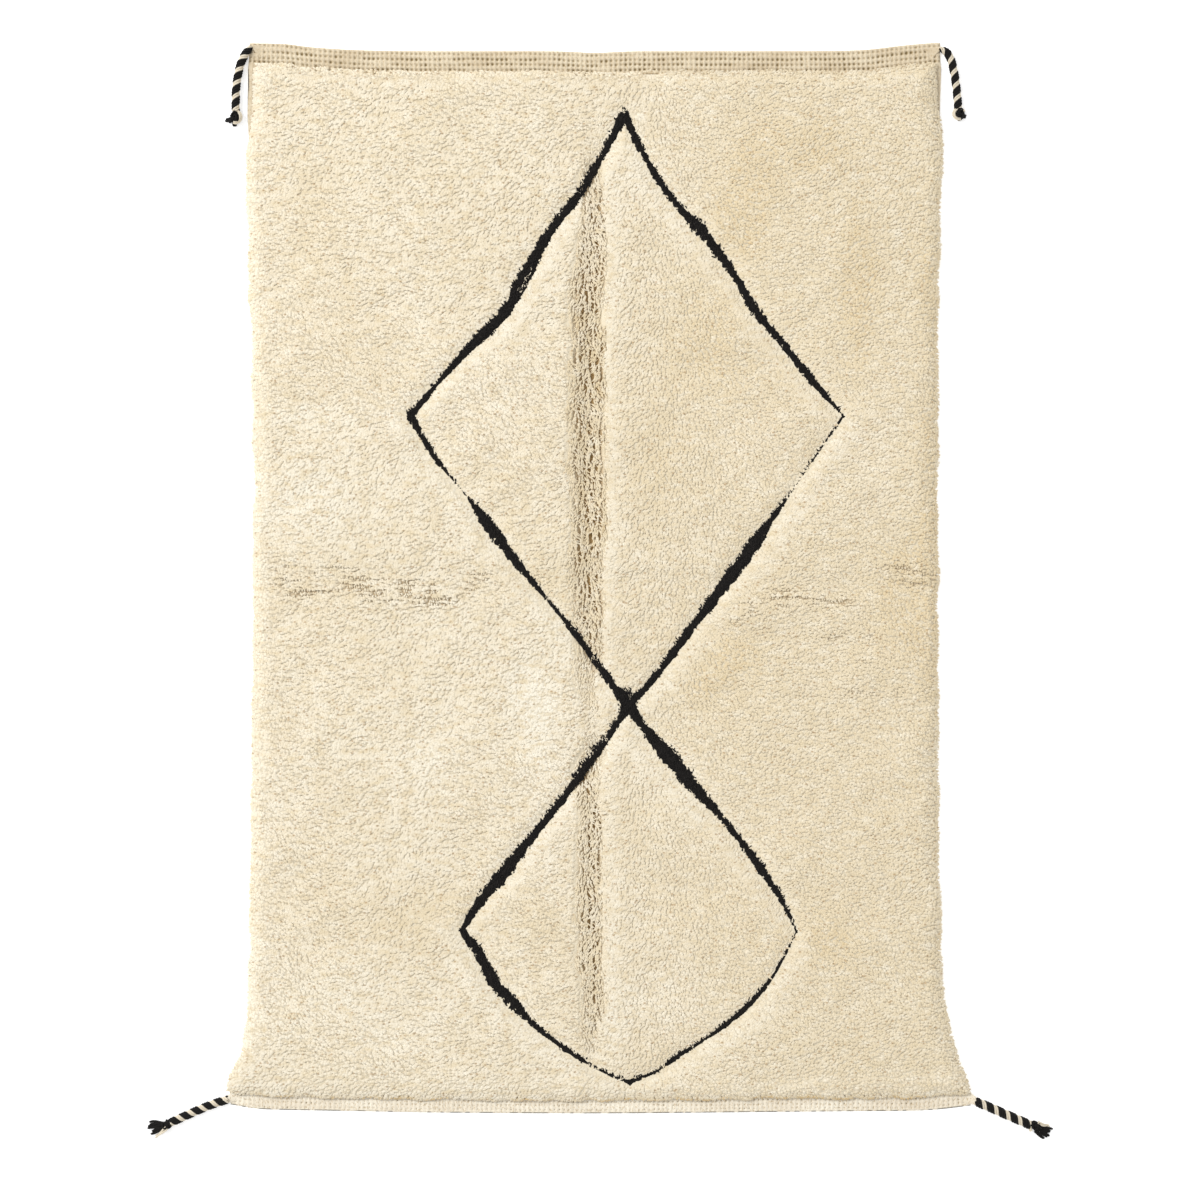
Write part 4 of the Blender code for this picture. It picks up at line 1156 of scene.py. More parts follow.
# %% Bed
BED_COLUMNS = 126
BED_ROWS = 186
BED_BELOW = 0.0028          # how far under the top the bed lies,
BED_SMOOTH = 0.0016         # how far where the pile is brushed smooth,
BED_OPEN = 0.0100           # and how far where it is open
BED_LOWEST = 0.0082
BED_IN = 0.004              # how far inside the pile's ends it stops,
BED_SIDE_IN = 0.002         # and inside its sides
BED_UNDERSIDE = WEAVE_THICK - 0.001
BED_FLARE_ROWS = 30         # up to this row its underside keeps every third one, and past it every 20th
BED_CLOSED = ((0.73, 0.64, 0.46), (0.80, 0.72, 0.57))           # two shades of its knots, painted a little darker than the tips as shade deep in the pile,
BED_OPEN_PAINTED_SHADE = ((0.38, 0.235, 0.095), (0.56, 0.39, 0.18))           # and darker brown painted shade where one looks into an open fold or slit


def bed_sides(along):
    """Where the bed's sides run, a little inside the pile's walls."""
    left, right = pile_sides(along)
    return left + BED_SIDE_IN, right - BED_SIDE_IN


bed_ends = (FOOT_BAND + BED_IN, HEAD_BAND + BED_IN)
bed_insets = np.concatenate([[bed_ends[0]], np.zeros(BED_ROWS - 2), [-bed_ends[1]]])
bed_across, bed_along = level_places(np.linspace(0, 1, BED_ROWS), bed_insets, np.linspace(0, 1, BED_COLUMNS),
                                     *bed_ends, bed_sides)
bed_open = np.maximum(np.clip(1.5 * fold_band(bed_across, bed_along) - 0.5, 0, 1),
                      0.50 * slit_opening(bed_across, bed_along, SLIT_BED))
bed_below = blend(BED_BELOW, BED_SMOOTH, brushed(bed_across, bed_along))
bed_high = pile_top(bed_across, bed_along) - blend(bed_below, BED_OPEN, bed_open)
bed_top = np.stack([bed_across, bed_along, np.maximum(bed_high, BED_LOWEST)], axis=-1)
bed_under = np.unique(np.concatenate([[0, BED_ROWS - 1], np.arange(3, BED_FLARE_ROWS, 3),
                                      np.arange(BED_FLARE_ROWS, BED_ROWS - 10, 20)]))

tree, shader, bed_wool = wool_shader("bed_wool")
object_place = add_node(tree, "ShaderNodeTexCoord").outputs["Object"]
knots_noise = scaled_noise(tree, object_place, (110.0, 110.0, 110.0), 3.0, 0.6)
closed_shade = mix_colour(tree, knots_noise, *BED_CLOSED)
open_painted_shade = mix_colour(tree, knots_noise, *BED_OPEN_PAINTED_SHADE)
# Painted shade: the bed is dark brown where its open mark says that the pile gapes.
bed_shade = mix_colour(tree, read_mark(tree, "open"), closed_shade, open_painted_shade)
tree.links.new(bed_shade, shader.inputs["Base Color"])
add_bump(tree, shader, knots_noise, strength=0.8, deep=0.003)

bed_shell = cloth_shell(bed_top, bed_under, BED_UNDERSIDE, {"open": bed_open})
bed = make_piece("pile_bed", bed_shell, bed_wool, "cloth")

# %% [markdown]
# ## The tufts
# A tuft is a bent, three-sided strand, pointed at both ends, of only six faces, because there are over a
# hundred thousand. Hair would be lighter, but an exported model keeps meshes and no hair. A tuft stands in
# the bed, rises and lies over along the top of the pile. Where it leans is a slow wandering field: to the
# left on the left half and to the right on the right half, outwards at the rim, and away on both sides of the
# long fold, where the pile parts and dark slits open between the tufts.

# %% Where tufts lean
LEFT_LEAN = -1.48           # radians from straight towards the foot: the pile lies nearly level to the left
RIGHT_LEAN = 1.40           # on the left half, and to the right on the right half
LEFT_WANDER = 0.72          # how many radians the lean wanders from that
RIGHT_WANDER = 0.60
LEAN_NOISE = ((1.05, 0.23, 1), (0.70, 0.085, 2), (0.75, 0.030, 3))      # its waves: share, patch and seed
LEAN_SOFT = 0.15
FOLD_PART = 0.040           # how far from the long fold its parting still turns the tufts,
FOLD_EDGE = 0.016           # how far from it they already lie wholly to their side,
FOLD_FULL = 0.008           # and how deep it is where it turns them in full
RIM_PART = 0.030            # how far in from the rim it turns them, and from its head
HEAD_PART = 0.009
LINE_PART = 0.024           # and how far from a black line
# How strongly each turns them, where 1 is as much as their own lean.
FOLD_PUSH = 1.6
SLIT_PUSH = 2.5
LINE_PUSH = (1.5, 0.45)     # on the lower and on the upper side of a line
RIM_PUSH = {"sides": 2.2, "foot": 2.0, "head": 1.7}


def lean_field(across, along):
    """The level direction in which the pile lies over at a place, as unit vectors."""
    wander = sum(share * soft_noise(across, along, patch, seed) for share, patch, seed in LEAN_NOISE)
    right_half = right_share(across, LEAN_SOFT)
    angle = (-np.pi / 2 + blend(LEFT_LEAN, RIGHT_LEAN, right_half)
             + wander * blend(LEFT_WANDER, RIGHT_WANDER, right_half))
    x, y = np.cos(angle), np.sin(angle)

    off = across - fold("across", along)
    parting = np.clip(fold("deep", along) / FOLD_FULL, 0, 1.2) * hill(off, FOLD_PART)
    x = x * (1 - 0.7 * np.minimum(parting, 1)) + FOLD_PUSH * parting * np.tanh(off / FOLD_EDGE)

    beside = slit_opening(across, along, SLIT_TURN)
    x, y = x + SLIT_PUSH * (2 * right_half - 1) * beside, y * (1 - 0.8 * beside)

    cover, away = line_cover(across, along)
    beside = hill(np.maximum(0, -cover), LINE_PART) * np.where(away[..., 1] < 0, *LINE_PUSH)
    x, y = x + beside * away[..., 0], y + beside * away[..., 1]

    left, right = pile_sides(along)
    low, high = pile_ends(across)
    x = x + RIM_PUSH["sides"] * (hill(right - across, RIM_PART) - hill(across - left, RIM_PART))
    y = y - RIM_PUSH["foot"] * hill(along - low, RIM_PART)
    y = y + RIM_PUSH["head"] * hill(high - along, HEAD_PART)
    length = np.maximum(np.hypot(x, y), 1e-6)
    return np.stack([x / length, y / length], axis=-1)


def turned(ways, angles):
    """Level directions, each turned to the left by its angle."""
    cos, sin = np.cos(angles), np.sin(angles)
    return np.stack([ways[:, 0] * cos - ways[:, 1] * sin, ways[:, 0] * sin + ways[:, 1] * cos], axis=1)


# %% One tuft's faces and its places in the UV map
TUFT_SIDES = 3
TUFT_POINTS = TUFT_SIDES + 2
STATIONS = (0.04, 0.55, 0.96)                   # the root, the ring and the tip, up the tuft's cell
CELL_MARGIN = 0.05
KITE_WIDE = 0.96            # how much of its third of the cell each side takes up

# point 0 is the root, 1 to 3 the ring and 4 the tip
tuft_triangles = np.array([(1, 2, 4), (2, 3, 4), (3, 1, 4), (2, 1, 0), (3, 2, 0), (1, 3, 0)])


def cell_places():
    """Corners of one tuft's faces in a cell from 0 to 1: its three sides stand side by side as kites."""
    low = CELL_MARGIN + (1 - 2 * CELL_MARGIN) * np.arange(TUFT_SIDES) / TUFT_SIDES
    high = low + KITE_WIDE * (1 - 2 * CELL_MARGIN) / TUFT_SIDES
    root, ring, tip = STATIONS
    upper = [((a, ring), (b, ring), ((a + b) / 2, tip)) for a, b in zip(low, high)]
    lower = [((b, ring), (a, ring), ((a + b) / 2, root)) for a, b in zip(low, high)]
    return np.array(upper + lower)


# %% Many tufts as one shell
LOWEST = 0.0035             # no tuft's line comes closer to the floor
# Of a tuft's root, ring and tip: how far over it lies, how far it curls aside, how far below the top of the
# pile it is, where the pile is closed and where it is open, and its mark, all but the sinks as shares.
TUFT_EASE = (0.0, 0.60, 1.0)
TUFT_BEND = (0.0, 1.0, -0.6)
TUFT_SINK = (0.0050, 0.0, 0.0014)
OPEN_SINK = (0.0105, 0.0030, 0.0038)
UP_SHARES = (0.0, 0.8, 1.0)


def tuft_shell(tufts, pull=None):
    """A shell of many tufts from a table with an array for each of their sizes. Point k of a tuft's line lies
    at root + way reach ease_k + square curl bend_k, moved by pull, at the height top(there) - sink_k, and the
    middle one lift - flat wide / 2 above that. The ring has its points at 0, 120 and 240 degrees round it,
    the first one up; the tuft closes to a point at its root and at its tip."""
    count = len(tufts["roots"])
    ways, wide, flat = tufts["ways"], tufts["wide"], tufts["flat"]
    square = np.stack([-ways[:, 1], ways[:, 0]], axis=1)
    level = np.stack([tufts["roots"] + ways * (tufts["reach"] * ease)[:, None]
                      + square * (tufts["curl"] * bend)[:, None]
                      for ease, bend in zip(TUFT_EASE, TUFT_BEND)], axis=1)
    if pull is not None:
        level = pull(level)
    opening = tufts["opening"][:, None]
    sink = np.array(TUFT_SINK) * (1 - opening) + np.array(OPEN_SINK) * opening
    high = pile_top(level[..., 0], level[..., 1]) - sink
    high[:, 1] += tufts["lift"] - flat / 2 * wide
    line = np.concatenate([level, np.maximum(high, LOWEST)[..., None]], axis=2)

    along = unit(line[:, 2] - line[:, 0])
    beside = unit(np.cross(along, UP))
    above = np.cross(beside, along)
    angle = np.radians([0.0, 120.0, 240.0])[None, :, None]
    out = flat[:, None, None] * above[:, None] * np.cos(angle) - beside[:, None] * np.sin(angle)
    ring = line[:, 1, None] + (wide / 2)[:, None, None] * out
    points = np.concatenate([line[:, :1], ring, line[:, 2:]], axis=1)

    starts = np.arange(count)[:, None, None] * TUFT_POINTS
    cells = int(np.ceil(np.sqrt(count)))
    cell = np.stack([np.arange(count) % cells, np.arange(count) // cells], axis=1)[:, None, None]
    up_share = np.repeat(UP_SHARES, (1, TUFT_SIDES, 1))
    return {"points": points.reshape(-1, 3),
            "quads": np.zeros((0, 4), int), "triangles": (starts + tuft_triangles).reshape(-1, 3),
            "quad_places": np.zeros((0, 4, 2)),
            "triangle_places": ((cell + cell_places()) / cells).reshape(-1, 3, 2),
            "marks": {"up": np.tile(up_share, count), "shade": np.repeat(tufts["shade"], TUFT_POINTS)}}


# %% Roots of the tufts
PILE_WIDE = 1.60            # mean width and length of the pile, for the number of its knots
PILE_LONG = 2.37
ROW_DISORDER = (0.28, 0.22)                     # how far a knot stands from its place, as shares of the pitch


def knot_rows(pitch, seed):
    """Roots in rows across the rug, with every other row moved by half a pitch, and a little disorder. Also
    the generator that they are drawn with."""
    draw = np.random.default_rng(seed)
    columns, rows = round(PILE_WIDE / pitch), round(PILE_LONG / pitch)
    i, j = np.meshgrid(np.arange(columns), np.arange(rows), indexing="xy")
    aside, ahead = ROW_DISORDER
    u = (i + 0.25 + 0.5 * (j % 2) + draw.uniform(-aside, aside, i.shape)) / columns
    v = (j + 0.5 + draw.uniform(-ahead, ahead, i.shape)) / rows
    across = blend(*MEAN_SIDES, u)
    for _ in range(3):
        low, high = pile_ends(across)
        along = low + (high - low) * v
        left, right = pile_sides(along)
        across = left + (right - left) * np.clip(u, 0.002, 0.998)
    return np.stack([across.ravel(), along.ravel()], axis=1), draw


# %% Clumps
CLUMP_NET = 4096            # more than the number of clumps along the rug


def clump_numbers(roots, clump_across, clump_along, waver):
    """Which clump each tuft belongs to: the meshes of a net, every other column moved by half a mesh and all
    of it bent by smooth noise."""
    bend = waver * np.stack([soft_noise(*roots.T, 0.03, 51), soft_noise(*roots.T, 0.03, 52)], axis=1)
    u = (roots[:, 0] + bend[:, 0] + 1) / clump_across
    v = (roots[:, 1] + bend[:, 1] + 2) / clump_along + 0.5 * (np.floor(u) % 2)
    return np.floor(u).astype(int) * CLUMP_NET + np.floor(v).astype(int)


def clump_pull(level, clump, opening, shares):
    """Draws the rings and tips of each clump's tufts together: by the first share where the pile is closed
    and by the second where it is open."""
    number = np.unique(clump, return_inverse=True)[1]
    size = np.bincount(number)
    drawn = level.copy()
    share = blend(*shares, opening)[:, None]
    for k in range(1, level.shape[1]):
        sums = [np.bincount(number, level[:, k, axis]) for axis in (0, 1)]
        middle = np.stack([total / size for total in sums], axis=1)[number]
        drawn[:, k] = level[:, k] * (1 - share) + middle * share
    return drawn


def clumped_and_parted(clump, opening, shares, slits):
    """A pull for tuft_shell: draws tufts into their clumps, and then moves them off some slits."""
    return lambda level: step_off(clump_pull(level, clump, opening, shares), *slits)


# %% Where the cream tufts stand
TUFT_PITCH = 0.0059
RIM_PITCH = 0.0052          # the rim has a strip of tufts more,
RIM_WIDE = 0.008            # this wide,
HEAD_RIM_WIDE = 0.026       # and its head a wider one
BAND_START = 0.42           # they stop where the band of parted tufts is this strong

roots, draw = knot_rows(TUFT_PITCH, 11)
rim_roots, _ = knot_rows(RIM_PITCH, 21)
rim_in = from_rim(*rim_roots.T)
head_in = pile_ends(rim_roots[:, 0])[1] - rim_roots[:, 1]
rim_roots = rim_roots[(rim_in < RIM_WIDE) | (head_in < HEAD_RIM_WIDE)]
roots = np.vstack([roots[fold_band(*roots.T) < BAND_START], rim_roots])
roots = roots[np.argsort(roots[:, 1])]
count = len(roots)
foot_wall, head_wall = pile_ends(roots[:, 0])
left_wall, right_wall = pile_sides(roots[:, 1])
foot_in, head_in = roots[:, 1] - foot_wall, head_wall - roots[:, 1]
side_in = np.minimum(roots[:, 0] - left_wall, right_wall - roots[:, 0])
root_in = from_rim(*roots.T)

# %% How the cream tufts lie
TURN_SPREAD = 0.32          # radians by which tufts lie off the field's direction,
RIGHT_TURN = 0.15           # how much less on the right half, as a share,
SLIT_CALM = 0.5             # beside a slit,
CALM_TURN = 0.55            # where the pile is smooth,
HEAD_TURN = 1.2             # and how much more at the head's rim
LEFT_CALM = 0.7             # the left half lies nearly as smooth as the smooth places
TUFT_REACH = 0.0180
TUFT_WIDE = 0.0078
CALM_LONG = 0.25            # how much longer and wider tufts are where the pile is smooth, as shares
CALM_WIDE = 0.15
RIM_NARROW = (0.006, 0.35)  # how near the rim they are narrower, and by what share
OVERHANG = 0.0095           # how far a tuft of the rim may hang out past the pile's wall
TUFT_FLAT = (0.0814, 0.1386)                    # a section's height (an even triangle's is 1): left, right
SMOOTH_FLAT = 0.065         # the same where the pile is smooth
CURL_SPREAD = 0.0012
LIFT_SPREAD = 0.00015
SLIT_OPEN = 0.35            # how open the pile is at a slit
SLIT_STOP = 0.35            # tufts end at a slit that gapes this much,
SHORTEST = 0.34             # but no sooner than this share of their reach


def stopped_reach(roots, ways, reach):
    """A tuft ends at the first slit on its way, but no sooner than a third of its reach."""
    stop = np.ones(len(roots))
    for share in np.linspace(1.0, 0.25, 5):
        place = roots + ways * (reach * share)[:, None]
        stop = np.where(slit_opening(*place.T, SLIT_WIDE) > SLIT_STOP, share, stop)
    return reach * np.maximum(stop, SHORTEST)


smooth, right_half = brushed(*roots.T), right_share(roots[:, 0], HALVES_SOFT)
calm = np.maximum(smooth, LEFT_CALM * (1 - right_half))
turns = draw.normal(0, TURN_SPREAD, count) * (1 - RIGHT_TURN * right_half)
turns = turns * (1 - SLIT_CALM * slit_opening(*roots.T, SLIT_TURN))
turns = turns * (1 - CALM_TURN * calm + HEAD_TURN * hill(head_in, HEAD_RIM_WIDE))
ways = turned(lean_field(*roots.T), turns)

reach = TUFT_REACH * draw.uniform(0.75, 1.25, count)
reach = stopped_reach(roots, ways, reach * (1 + CALM_LONG * calm))
tip_in = from_rim(*(roots + ways * reach[:, None]).T)
allowed = OVERHANG * draw.uniform(0.25, 1.05, count)
held = (root_in + allowed) / np.maximum(root_in - tip_in, 1e-4)
reach = np.where(tip_in < -allowed, reach * np.clip(held, 0.2, 1), reach)

rim_near, rim_less = RIM_NARROW
wide = TUFT_WIDE * draw.uniform(0.80, 1.20, count) * (1 + CALM_WIDE * calm)
wide = wide * (1 - rim_less * hill(root_in, rim_near))
flat = blend(blend(*TUFT_FLAT, right_half), SMOOTH_FLAT, calm)
curl = draw.normal(0, CURL_SPREAD, count)
rough = np.clip(0.55 + 0.6 * soft_noise(*roots.T, 0.12, 6), 0.15, 1) * (1 - 0.75 * smooth)
lift = draw.normal(0, LIFT_SPREAD, count) * rough

# %% Cream tufts
TIP_SHORT = 0.62            # a tuft whose tip would reach a black line has this share of its reach
SMOOTH_PAINTED_HIGHLIGHT = 0.45          # painted highlight: how much paler the wool is painted where it lies smooth and catches the light
SHADE_SPREAD = (0.08, 0.14)                     # how much the tufts differ in shade, left and right
FRINGE_WIDE = 0.0075        # tufts this near the foot hang over its band and are painted a darker tan, as shade on the pile's front,
FRINGE_DARK = 2.6
FRINGE_CORNER = 0.03        # but not so near the corners

# Tufts that would lie on a black line are left out, and those whose tips would are shorter.
cover, _ = line_cover(*(roots + ways * (0.55 * reach)[:, None]).T)
tip_cover, _ = line_cover(*(roots + ways * reach[:, None]).T)
reach = np.where(tip_cover > -0.001, reach * TIP_SHORT, reach)
uneven = blend(*SHADE_SPREAD, right_half) * draw.normal(0, 1, count)
fringe_painted_shade = hill(foot_in, FRINGE_WIDE) * (0.65 + 0.6 * soft_noise(*roots.T, 0.02, 38))
fringe_painted_shade = FRINGE_DARK * fringe_painted_shade * (1 - hill(side_in, FRINGE_CORNER))
# The shade mark: the wool's tone and its random differences, with painted highlight where the pile lies
# smooth and painted shade at the foot's edge.
shade = tone(*roots.T) + SMOOTH_PAINTED_HIGHLIGHT * smooth + uneven - fringe_painted_shade
cream_tufts = {"roots": roots, "ways": ways, "reach": reach, "wide": wide, "flat": flat, "curl": curl,
               "lift": lift, "opening": SLIT_OPEN * slit_opening(*roots.T, SLIT_WIDE), "shade": shade}
cream_tufts = {key: values[cover < 0] for key, values in cream_tufts.items()}
print("cream tufts", len(cream_tufts["roots"]))

# %% Short tufts in the long fold
PARTED_PITCH = 0.0049
PARTED_REACH = 0.0140
PARTED_WIDE = 0.0058
PARTED_FLAT = 0.30
PARTED_FROM = 0.20          # they stand where the band is at least this strong, give or take a noise
PARTED_LIFT = 0.0007
PARTED_OPEN = 0.45
PARTED_CLUMP = (0.0118, 0.0300, 0.010)          # a clump's size across and along, and how far they waver
PARTED_DRAWN = (0.08, 0.22)
CLUMP_DRAWS = 997           # so many different clumps

parted_roots, draw = knot_rows(PARTED_PITCH, 13)
in_band = fold_band(*parted_roots.T) + 0.14 * soft_noise(*parted_roots.T, 0.03, 18) >= PARTED_FROM
parted_roots = parted_roots[in_band & (line_cover(*parted_roots.T)[0] < 0.001)]
count = len(parted_roots)
turns = -np.pi / 2 + 0.55 * soft_noise(*parted_roots.T, 0.024, 14) + draw.normal(0, 0.22, count)
parted_clump = clump_numbers(parted_roots, *PARTED_CLUMP)
parted_open = np.clip(0.35 + 0.5 * soft_noise(*parted_roots.T, 0.022, 15), 0.0, 1)
clump_draw = np.random.default_rng(16).normal(0, 1, CLUMP_DRAWS)[parted_clump % CLUMP_DRAWS]
# Painted shade: the tufts are a darker tan where the fold parts most, for the shade in its crease, and their
# tone differs from clump to clump.
parted_painted_shade = 0.18 + 0.50 * np.clip(2 * fold("parted", parted_roots[:, 1]) - 1, 0, 1)
parted_tufts = {
    "roots": parted_roots, "ways": np.stack([np.cos(turns), np.sin(turns)], axis=1),
    "reach": PARTED_REACH * draw.uniform(0.7, 1.3, count),
    "wide": PARTED_WIDE * draw.uniform(0.85, 1.15, count), "flat": np.full(count, PARTED_FLAT),
    "curl": draw.normal(0, CURL_SPREAD, count), "lift": PARTED_LIFT * clump_draw,
    "opening": PARTED_OPEN * parted_open, "shade": 0.20 * clump_draw - parted_painted_shade,
}
parted_slits = (parting_lines, 0, PARTING_WIDE)
parted_shell = tuft_shell(parted_tufts,
                          clumped_and_parted(parted_clump, parted_open, PARTED_DRAWN, parted_slits))
print("parted tufts", count)

# %% The pile's wool
# Painted shade: the colour of a tuft's lower part, deep among the other tufts.
ROOT_PAINTED_SHADE = (0.70, 0.59, 0.41)
# Painted shade: dark dots where one would see into small gaps between the tufts.
DOT_PAINTED_SHADE = (0.40, 0.26, 0.13)
# Pale of the wool's pale patches and mottling, and the painted highlight where the pile lies smooth.
PALE_TONE_AND_HIGHLIGHT = (0.85, 0.795, 0.67)
TIP_SHADE = (0.81, 0.735, 0.59)
# Tan of the wool's patches and mottling, and the colour of the painted shade that the shade mark brings in.
TAN_TONE_AND_SHADE = (0.715, 0.61, 0.425)
# Painted shade on the pile's front edge over the foot's band.
FRINGE_PAINTED_SHADE = (0.68, 0.51, 0.27)
STREAKS = ((0.885, 0.855, 0.795), (1.09, 1.10, 1.12))           # between the fibres and on them

tree, shader, pile_wool = wool_shader("pile_wool")
object_place = add_node(tree, "ShaderNodeTexCoord").outputs["Object"]
uv_place = add_node(tree, "ShaderNodeUVMap", uv_map="OFBake").outputs["UV"]
up_mark = read_mark(tree, "up")
patch = scaled_noise(tree, object_place, (4.2, 3.4, 1.0), 4.0, 0.55)
speck = scaled_noise(tree, object_place, (75.0, 75.0, 1.0), 2.0, 0.6)
mottle = scaled_noise(tree, object_place, (30.0, 62.0, 1.0), 3.0, 0.62)
dot_place = add_node(tree, "ShaderNodeMapping")
dot_place.inputs["Scale"].default_value = (58.0, 84.0, 0.0)
tree.links.new(object_place, dot_place.inputs["Vector"])
dot_cells = add_node(tree, "ShaderNodeTexVoronoi", feature="F1")
dot_cells.inputs["Scale"].default_value = 1.0
tree.links.new(dot_place.outputs["Vector"], dot_cells.inputs["Vector"])
painted_gap_dots = spread(tree, dot_cells.outputs["Distance"], 0.11, 0.24, 0.66, 0.0)
fibres = scaled_noise(tree, uv_place, (2000.0, 260.0, 1.0), 2.0, 0.6)
shade_mark = read_mark(tree, "shade")

# The shade mark brings in paler wool and painted highlight above 0, and more tan wool and painted shade below
# 0.
# Each layer: its source, from which value to which it comes in, how much of it, and its colour.
tip_colour = TIP_SHADE
for source, low, high, share, colour in (
        (patch, 0.36, 0.66, 0.45, TAN_TONE_AND_SHADE), (shade_mark, 0.0, 1.0, 1.0, PALE_TONE_AND_HIGHLIGHT),
        (shade_mark, 0.0, -1.0, 1.0, TAN_TONE_AND_SHADE), (speck, 0.54, 0.75, 0.45, TAN_TONE_AND_SHADE),
        (mottle, 0.49, 0.68, 0.90, TAN_TONE_AND_SHADE), (mottle, 0.48, 0.32, 0.55, PALE_TONE_AND_HIGHLIGHT)):
    tip_colour = mix_colour(tree, spread(tree, source, low, high, 0.0, share), tip_colour, colour)
# Painted shade in small gaps: dark dots scattered over the pile.
tip_colour = mix_colour(tree, painted_gap_dots, tip_colour, DOT_PAINTED_SHADE)
# Painted shade: where the shade mark falls well below 0, at the foot's edge, the tufts turn a warm dark tan.
tip_colour = mix_colour(tree, spread(tree, shade_mark, -0.9, -1.9), tip_colour, FRINGE_PAINTED_SHADE)
streak = mix_colour(tree, spread(tree, fibres, 0.34, 0.66), *STREAKS)
streaked = mix_colour(tree, 1.0, tip_colour, streak, "MULTIPLY")
# Painted shade: the lower part of each tuft, by its up mark, is darker, for the shade deep in the pile.
whole = mix_colour(tree, spread(tree, up_mark, 0.04, 0.58), ROOT_PAINTED_SHADE, streaked)
tree.links.new(whole, shader.inputs["Base Color"])
add_bump(tree, shader, fibres, strength=0.35, deep=0.0005)

# %% Cream pile in strips
STRIPS = 5
CLUMP = (0.0155, 0.0155, 0.006)                 # a clump's size across and along, and how far they waver
CLUMP_DRAWN = (0.10, 0.25)

clump = clump_numbers(cream_tufts["roots"], *CLUMP)
strip_of = np.arange(len(clump)) * STRIPS // len(clump)
for strip in range(STRIPS):
    own = {key: values[strip_of == strip] for key, values in cream_tufts.items()}
    shell = tuft_shell(own, clumped_and_parted(clump[strip_of == strip], own["opening"], CLUMP_DRAWN,
                                               (slit_lines, 1, SLIT_GAP)))
    make_piece(f"pile_{strip + 1}", shell, pile_wool, "OFBake", False)
make_piece("pile_parted", parted_shell, pile_wool, "OFBake", False)

# %% The closed black under the black tufts
RIBBON_STEP = 0.0045
RIBBON_PAST = 0.004         # how far it runs on past both corners of its line
RIBBON_SHARE = 0.93         # its width, as a share of the line's
RIBBON_ROUGH = 0.28         # how much its edges differ from that, as a share,
ROUGH_PATCH = 0.009         # and over what length
RIBBON_HIGH = 0.0026        # its thickness; its top lies a little under the pile's
RIBBON_BELOW = 0.0014


def line_ribbon(number):
    """A closed band along one side of a lozenge: start + way s + right bow(s), half a width to both sides,
    with a top and an underside. A smooth noise roughens each edge by itself."""
    start, long, way, right = line_frame(number)
    past = RIBBON_PAST / long
    share = np.linspace(-past, 1 + past, round(long / RIBBON_STEP))
    bow, half = line_sizes(number, np.clip(share, 0, 1), long)
    top = []
    for sign in (-1, 1):
        rough = 1 + RIBBON_ROUGH * soft_noise(share * long, 0 * share, ROUGH_PATCH, 60 + 2 * number + sign)
        off = bow + sign * half * RIBBON_SHARE * rough
        edge = start + way * (share * long)[:, None] + right * off[:, None]
        top.append(np.column_stack([edge, pile_top(*edge.T) - RIBBON_BELOW]))
    low = [line - UP * RIBBON_HIGH for line in top]
    ring = np.stack([top[0], low[0], low[1], top[1]], axis=1)
    count = len(share)
    caps = np.array([(3, 2, 1, 0), tuple(4 * (count - 1) + k for k in range(4))])
    quads = np.vstack([grid_faces(count, 4, closed=True), caps])
    return ring.reshape(-1, 3), quads


# %% Black tufts
BLACK_PITCH = 0.0040
BLACK_REACH = 0.0110
BLACK_WIDE = 0.0042
BLACK_FLAT = 0.50
BLACK_LEAN = 1.75           # radians: the black tufts lie towards the head, a little to the left
BLACK_LIFT = 0.0010         # how far they stand up over the cream ones
BLACK_FIBRES_AND_SHEEN = ((0.003, 0.003, 0.003), (0.040, 0.035, 0.032))   # between the fibres, and lighter on them as painted sheen
RIBBON_GRAIN = 20           # units of the ribbons' UV map to a metre

black_roots, draw = knot_rows(BLACK_PITCH, 12)
count = len(black_roots)
turns = BLACK_LEAN + 0.5 * soft_noise(*black_roots.T, 0.06, 17) + draw.normal(0, 0.40, count)
black_ways = np.stack([np.cos(turns), np.sin(turns)], axis=1)
cover, _ = line_cover(*(black_roots + black_ways * (0.45 * BLACK_REACH)).T)
inside = cover + draw.normal(0, 0.0010, count) > 0.0004
count = int(inside.sum())
black_tufts = {
    "roots": black_roots[inside], "ways": black_ways[inside],
    "reach": BLACK_REACH * draw.uniform(0.6, 1.5, count),
    "wide": BLACK_WIDE * draw.uniform(0.8, 1.2, count), "flat": np.full(count, BLACK_FLAT),
    "curl": draw.normal(0, CURL_SPREAD, count), "lift": BLACK_LIFT + draw.normal(0, 0.0007, count),
    "opening": np.zeros(count), "shade": np.zeros(count),
}

tree, shader, black_wool = wool_shader("black_wool", **DARK_FINISH)
uv_place = add_node(tree, "ShaderNodeUVMap", uv_map="OFBake").outputs["UV"]
fibres = scaled_noise(tree, uv_place, (900.0, 120.0, 1.0), 2.0, 0.6)
black_shade = mix_colour(tree, spread(tree, fibres, 0.40, 0.72), *BLACK_FIBRES_AND_SHEEN)
tree.links.new(black_shade, shader.inputs["Base Color"])
add_bump(tree, shader, fibres, strength=0.5, deep=0.0006)
black_shell = tuft_shell(black_tufts)
make_piece("pile_lozenges", black_shell, black_wool, "OFBake", False)

# %% Ribbons under them
ribbons = []
for number in range(len(LINES)):
    points, quads = line_ribbon(number)
    ribbons.append({"points": points, "quads": quads, "triangles": np.zeros((0, 3), int),
                    "quad_places": points[quads][..., :2] * RIBBON_GRAIN,
                    "triangle_places": np.zeros((0, 3, 2)), "marks": {"up": np.ones(len(points))}})
ribbon_wool = black_wool.copy()
ribbon_wool.node_tree.nodes["UV Map"].uv_map = "cloth"
make_piece("pile_lines_bed", join_shells(ribbons), ribbon_wool, "cloth")

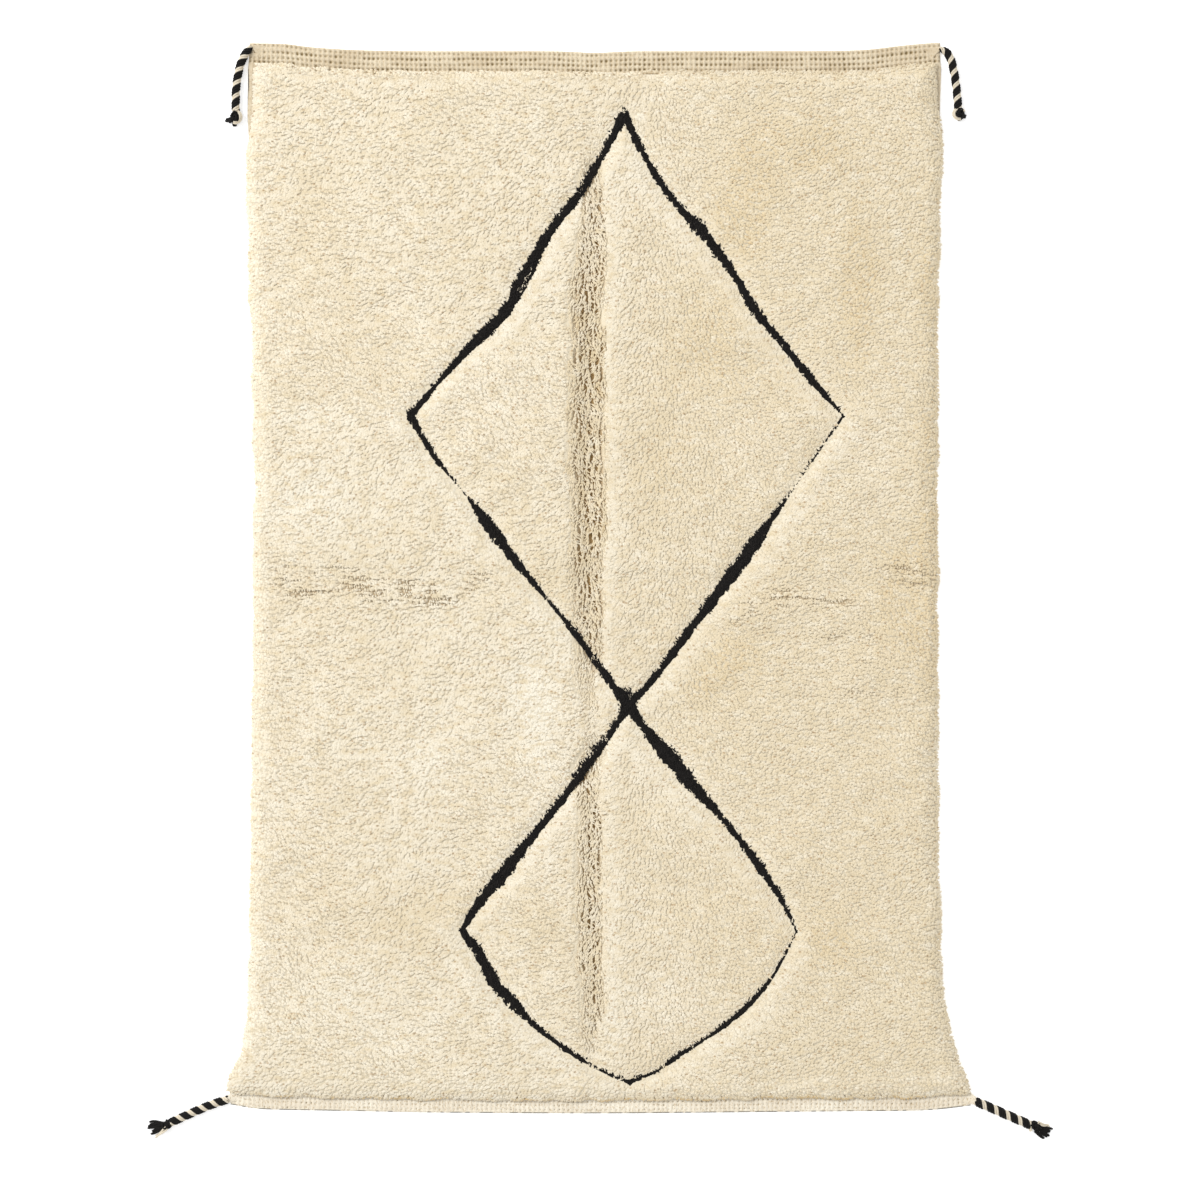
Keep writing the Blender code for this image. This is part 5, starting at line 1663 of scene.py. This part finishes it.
# %% Sides and mean length of the whole cloth
cloth_left, cloth_right = cloth_sides(np.linspace(-1.2, 1.2, 49))
ends_across = np.linspace(-0.8, 0.8, 33)
cloth_long = float(np.mean(end("head", ends_across) - end("foot", ends_across)))

# %% [markdown]
# ## Floor and light
# The rug lies on a plain, nearly white floor in soft light from all sides, with a large soft lamp high on the
# left, so that the pile's left slopes are a little brighter and its folds show. A picture of a studio could
# light it too, but a white world and one lamp need no file.

# %% Floor
FLOOR_WIDE = 30.0
FLOOR_GLOW = 0.40           # lifts the floor to the even white of a photographer's backdrop

half = FLOOR_WIDE / 2
floor_corners = [(-half, -half, 0), (half, -half, 0), (half, half, 0), (-half, half, 0)]
floor_mesh = bpy.data.meshes.new("floor")
floor_mesh.from_pydata(floor_corners, [], [(0, 1, 2, 3)])
floor = bpy.data.objects.new("floor", floor_mesh)
bpy.context.scene.collection.objects.link(floor)
floor_material = bpy.data.materials.new("floor_white")
floor_material.use_nodes = True
floor_shader = floor_material.node_tree.nodes["Principled BSDF"]
floor_shader.inputs["Base Color"].default_value = (0.93, 0.93, 0.93, 1.0)
floor_shader.inputs["Roughness"].default_value = 0.9
floor_shader.inputs["Emission Color"].default_value = (1.0, 1.0, 1.0, 1.0)
floor_shader.inputs["Emission Strength"].default_value = FLOOR_GLOW
floor_mesh.materials.append(floor_material)

# %% Lights
ROOM_LIGHT = 0.80
LAMP_PLACE = (-9.6, 6.6, 10.2)
LAMP_WIDE = 7.2
LAMP_POWER = 1500.0

world = bpy.data.worlds.new("room")
world.use_nodes = True
background = world.node_tree.nodes["Background"]
background.inputs["Color"].default_value = (1.0, 1.0, 1.0, 1.0)
background.inputs["Strength"].default_value = ROOM_LIGHT
bpy.context.scene.world = world
lamp_data = bpy.data.lights.new("lamp", "AREA")
lamp_data.shape = "DISK"
lamp_data.size = LAMP_WIDE
lamp_data.energy = LAMP_POWER
lamp = bpy.data.objects.new("lamp", lamp_data)
lamp.location = LAMP_PLACE
lamp.rotation_euler = (-lamp.location).to_track_quat("-Z", "Y").to_euler()
bpy.context.scene.collection.objects.link(lamp)
bpy.context.scene.view_settings.view_transform = "Standard"
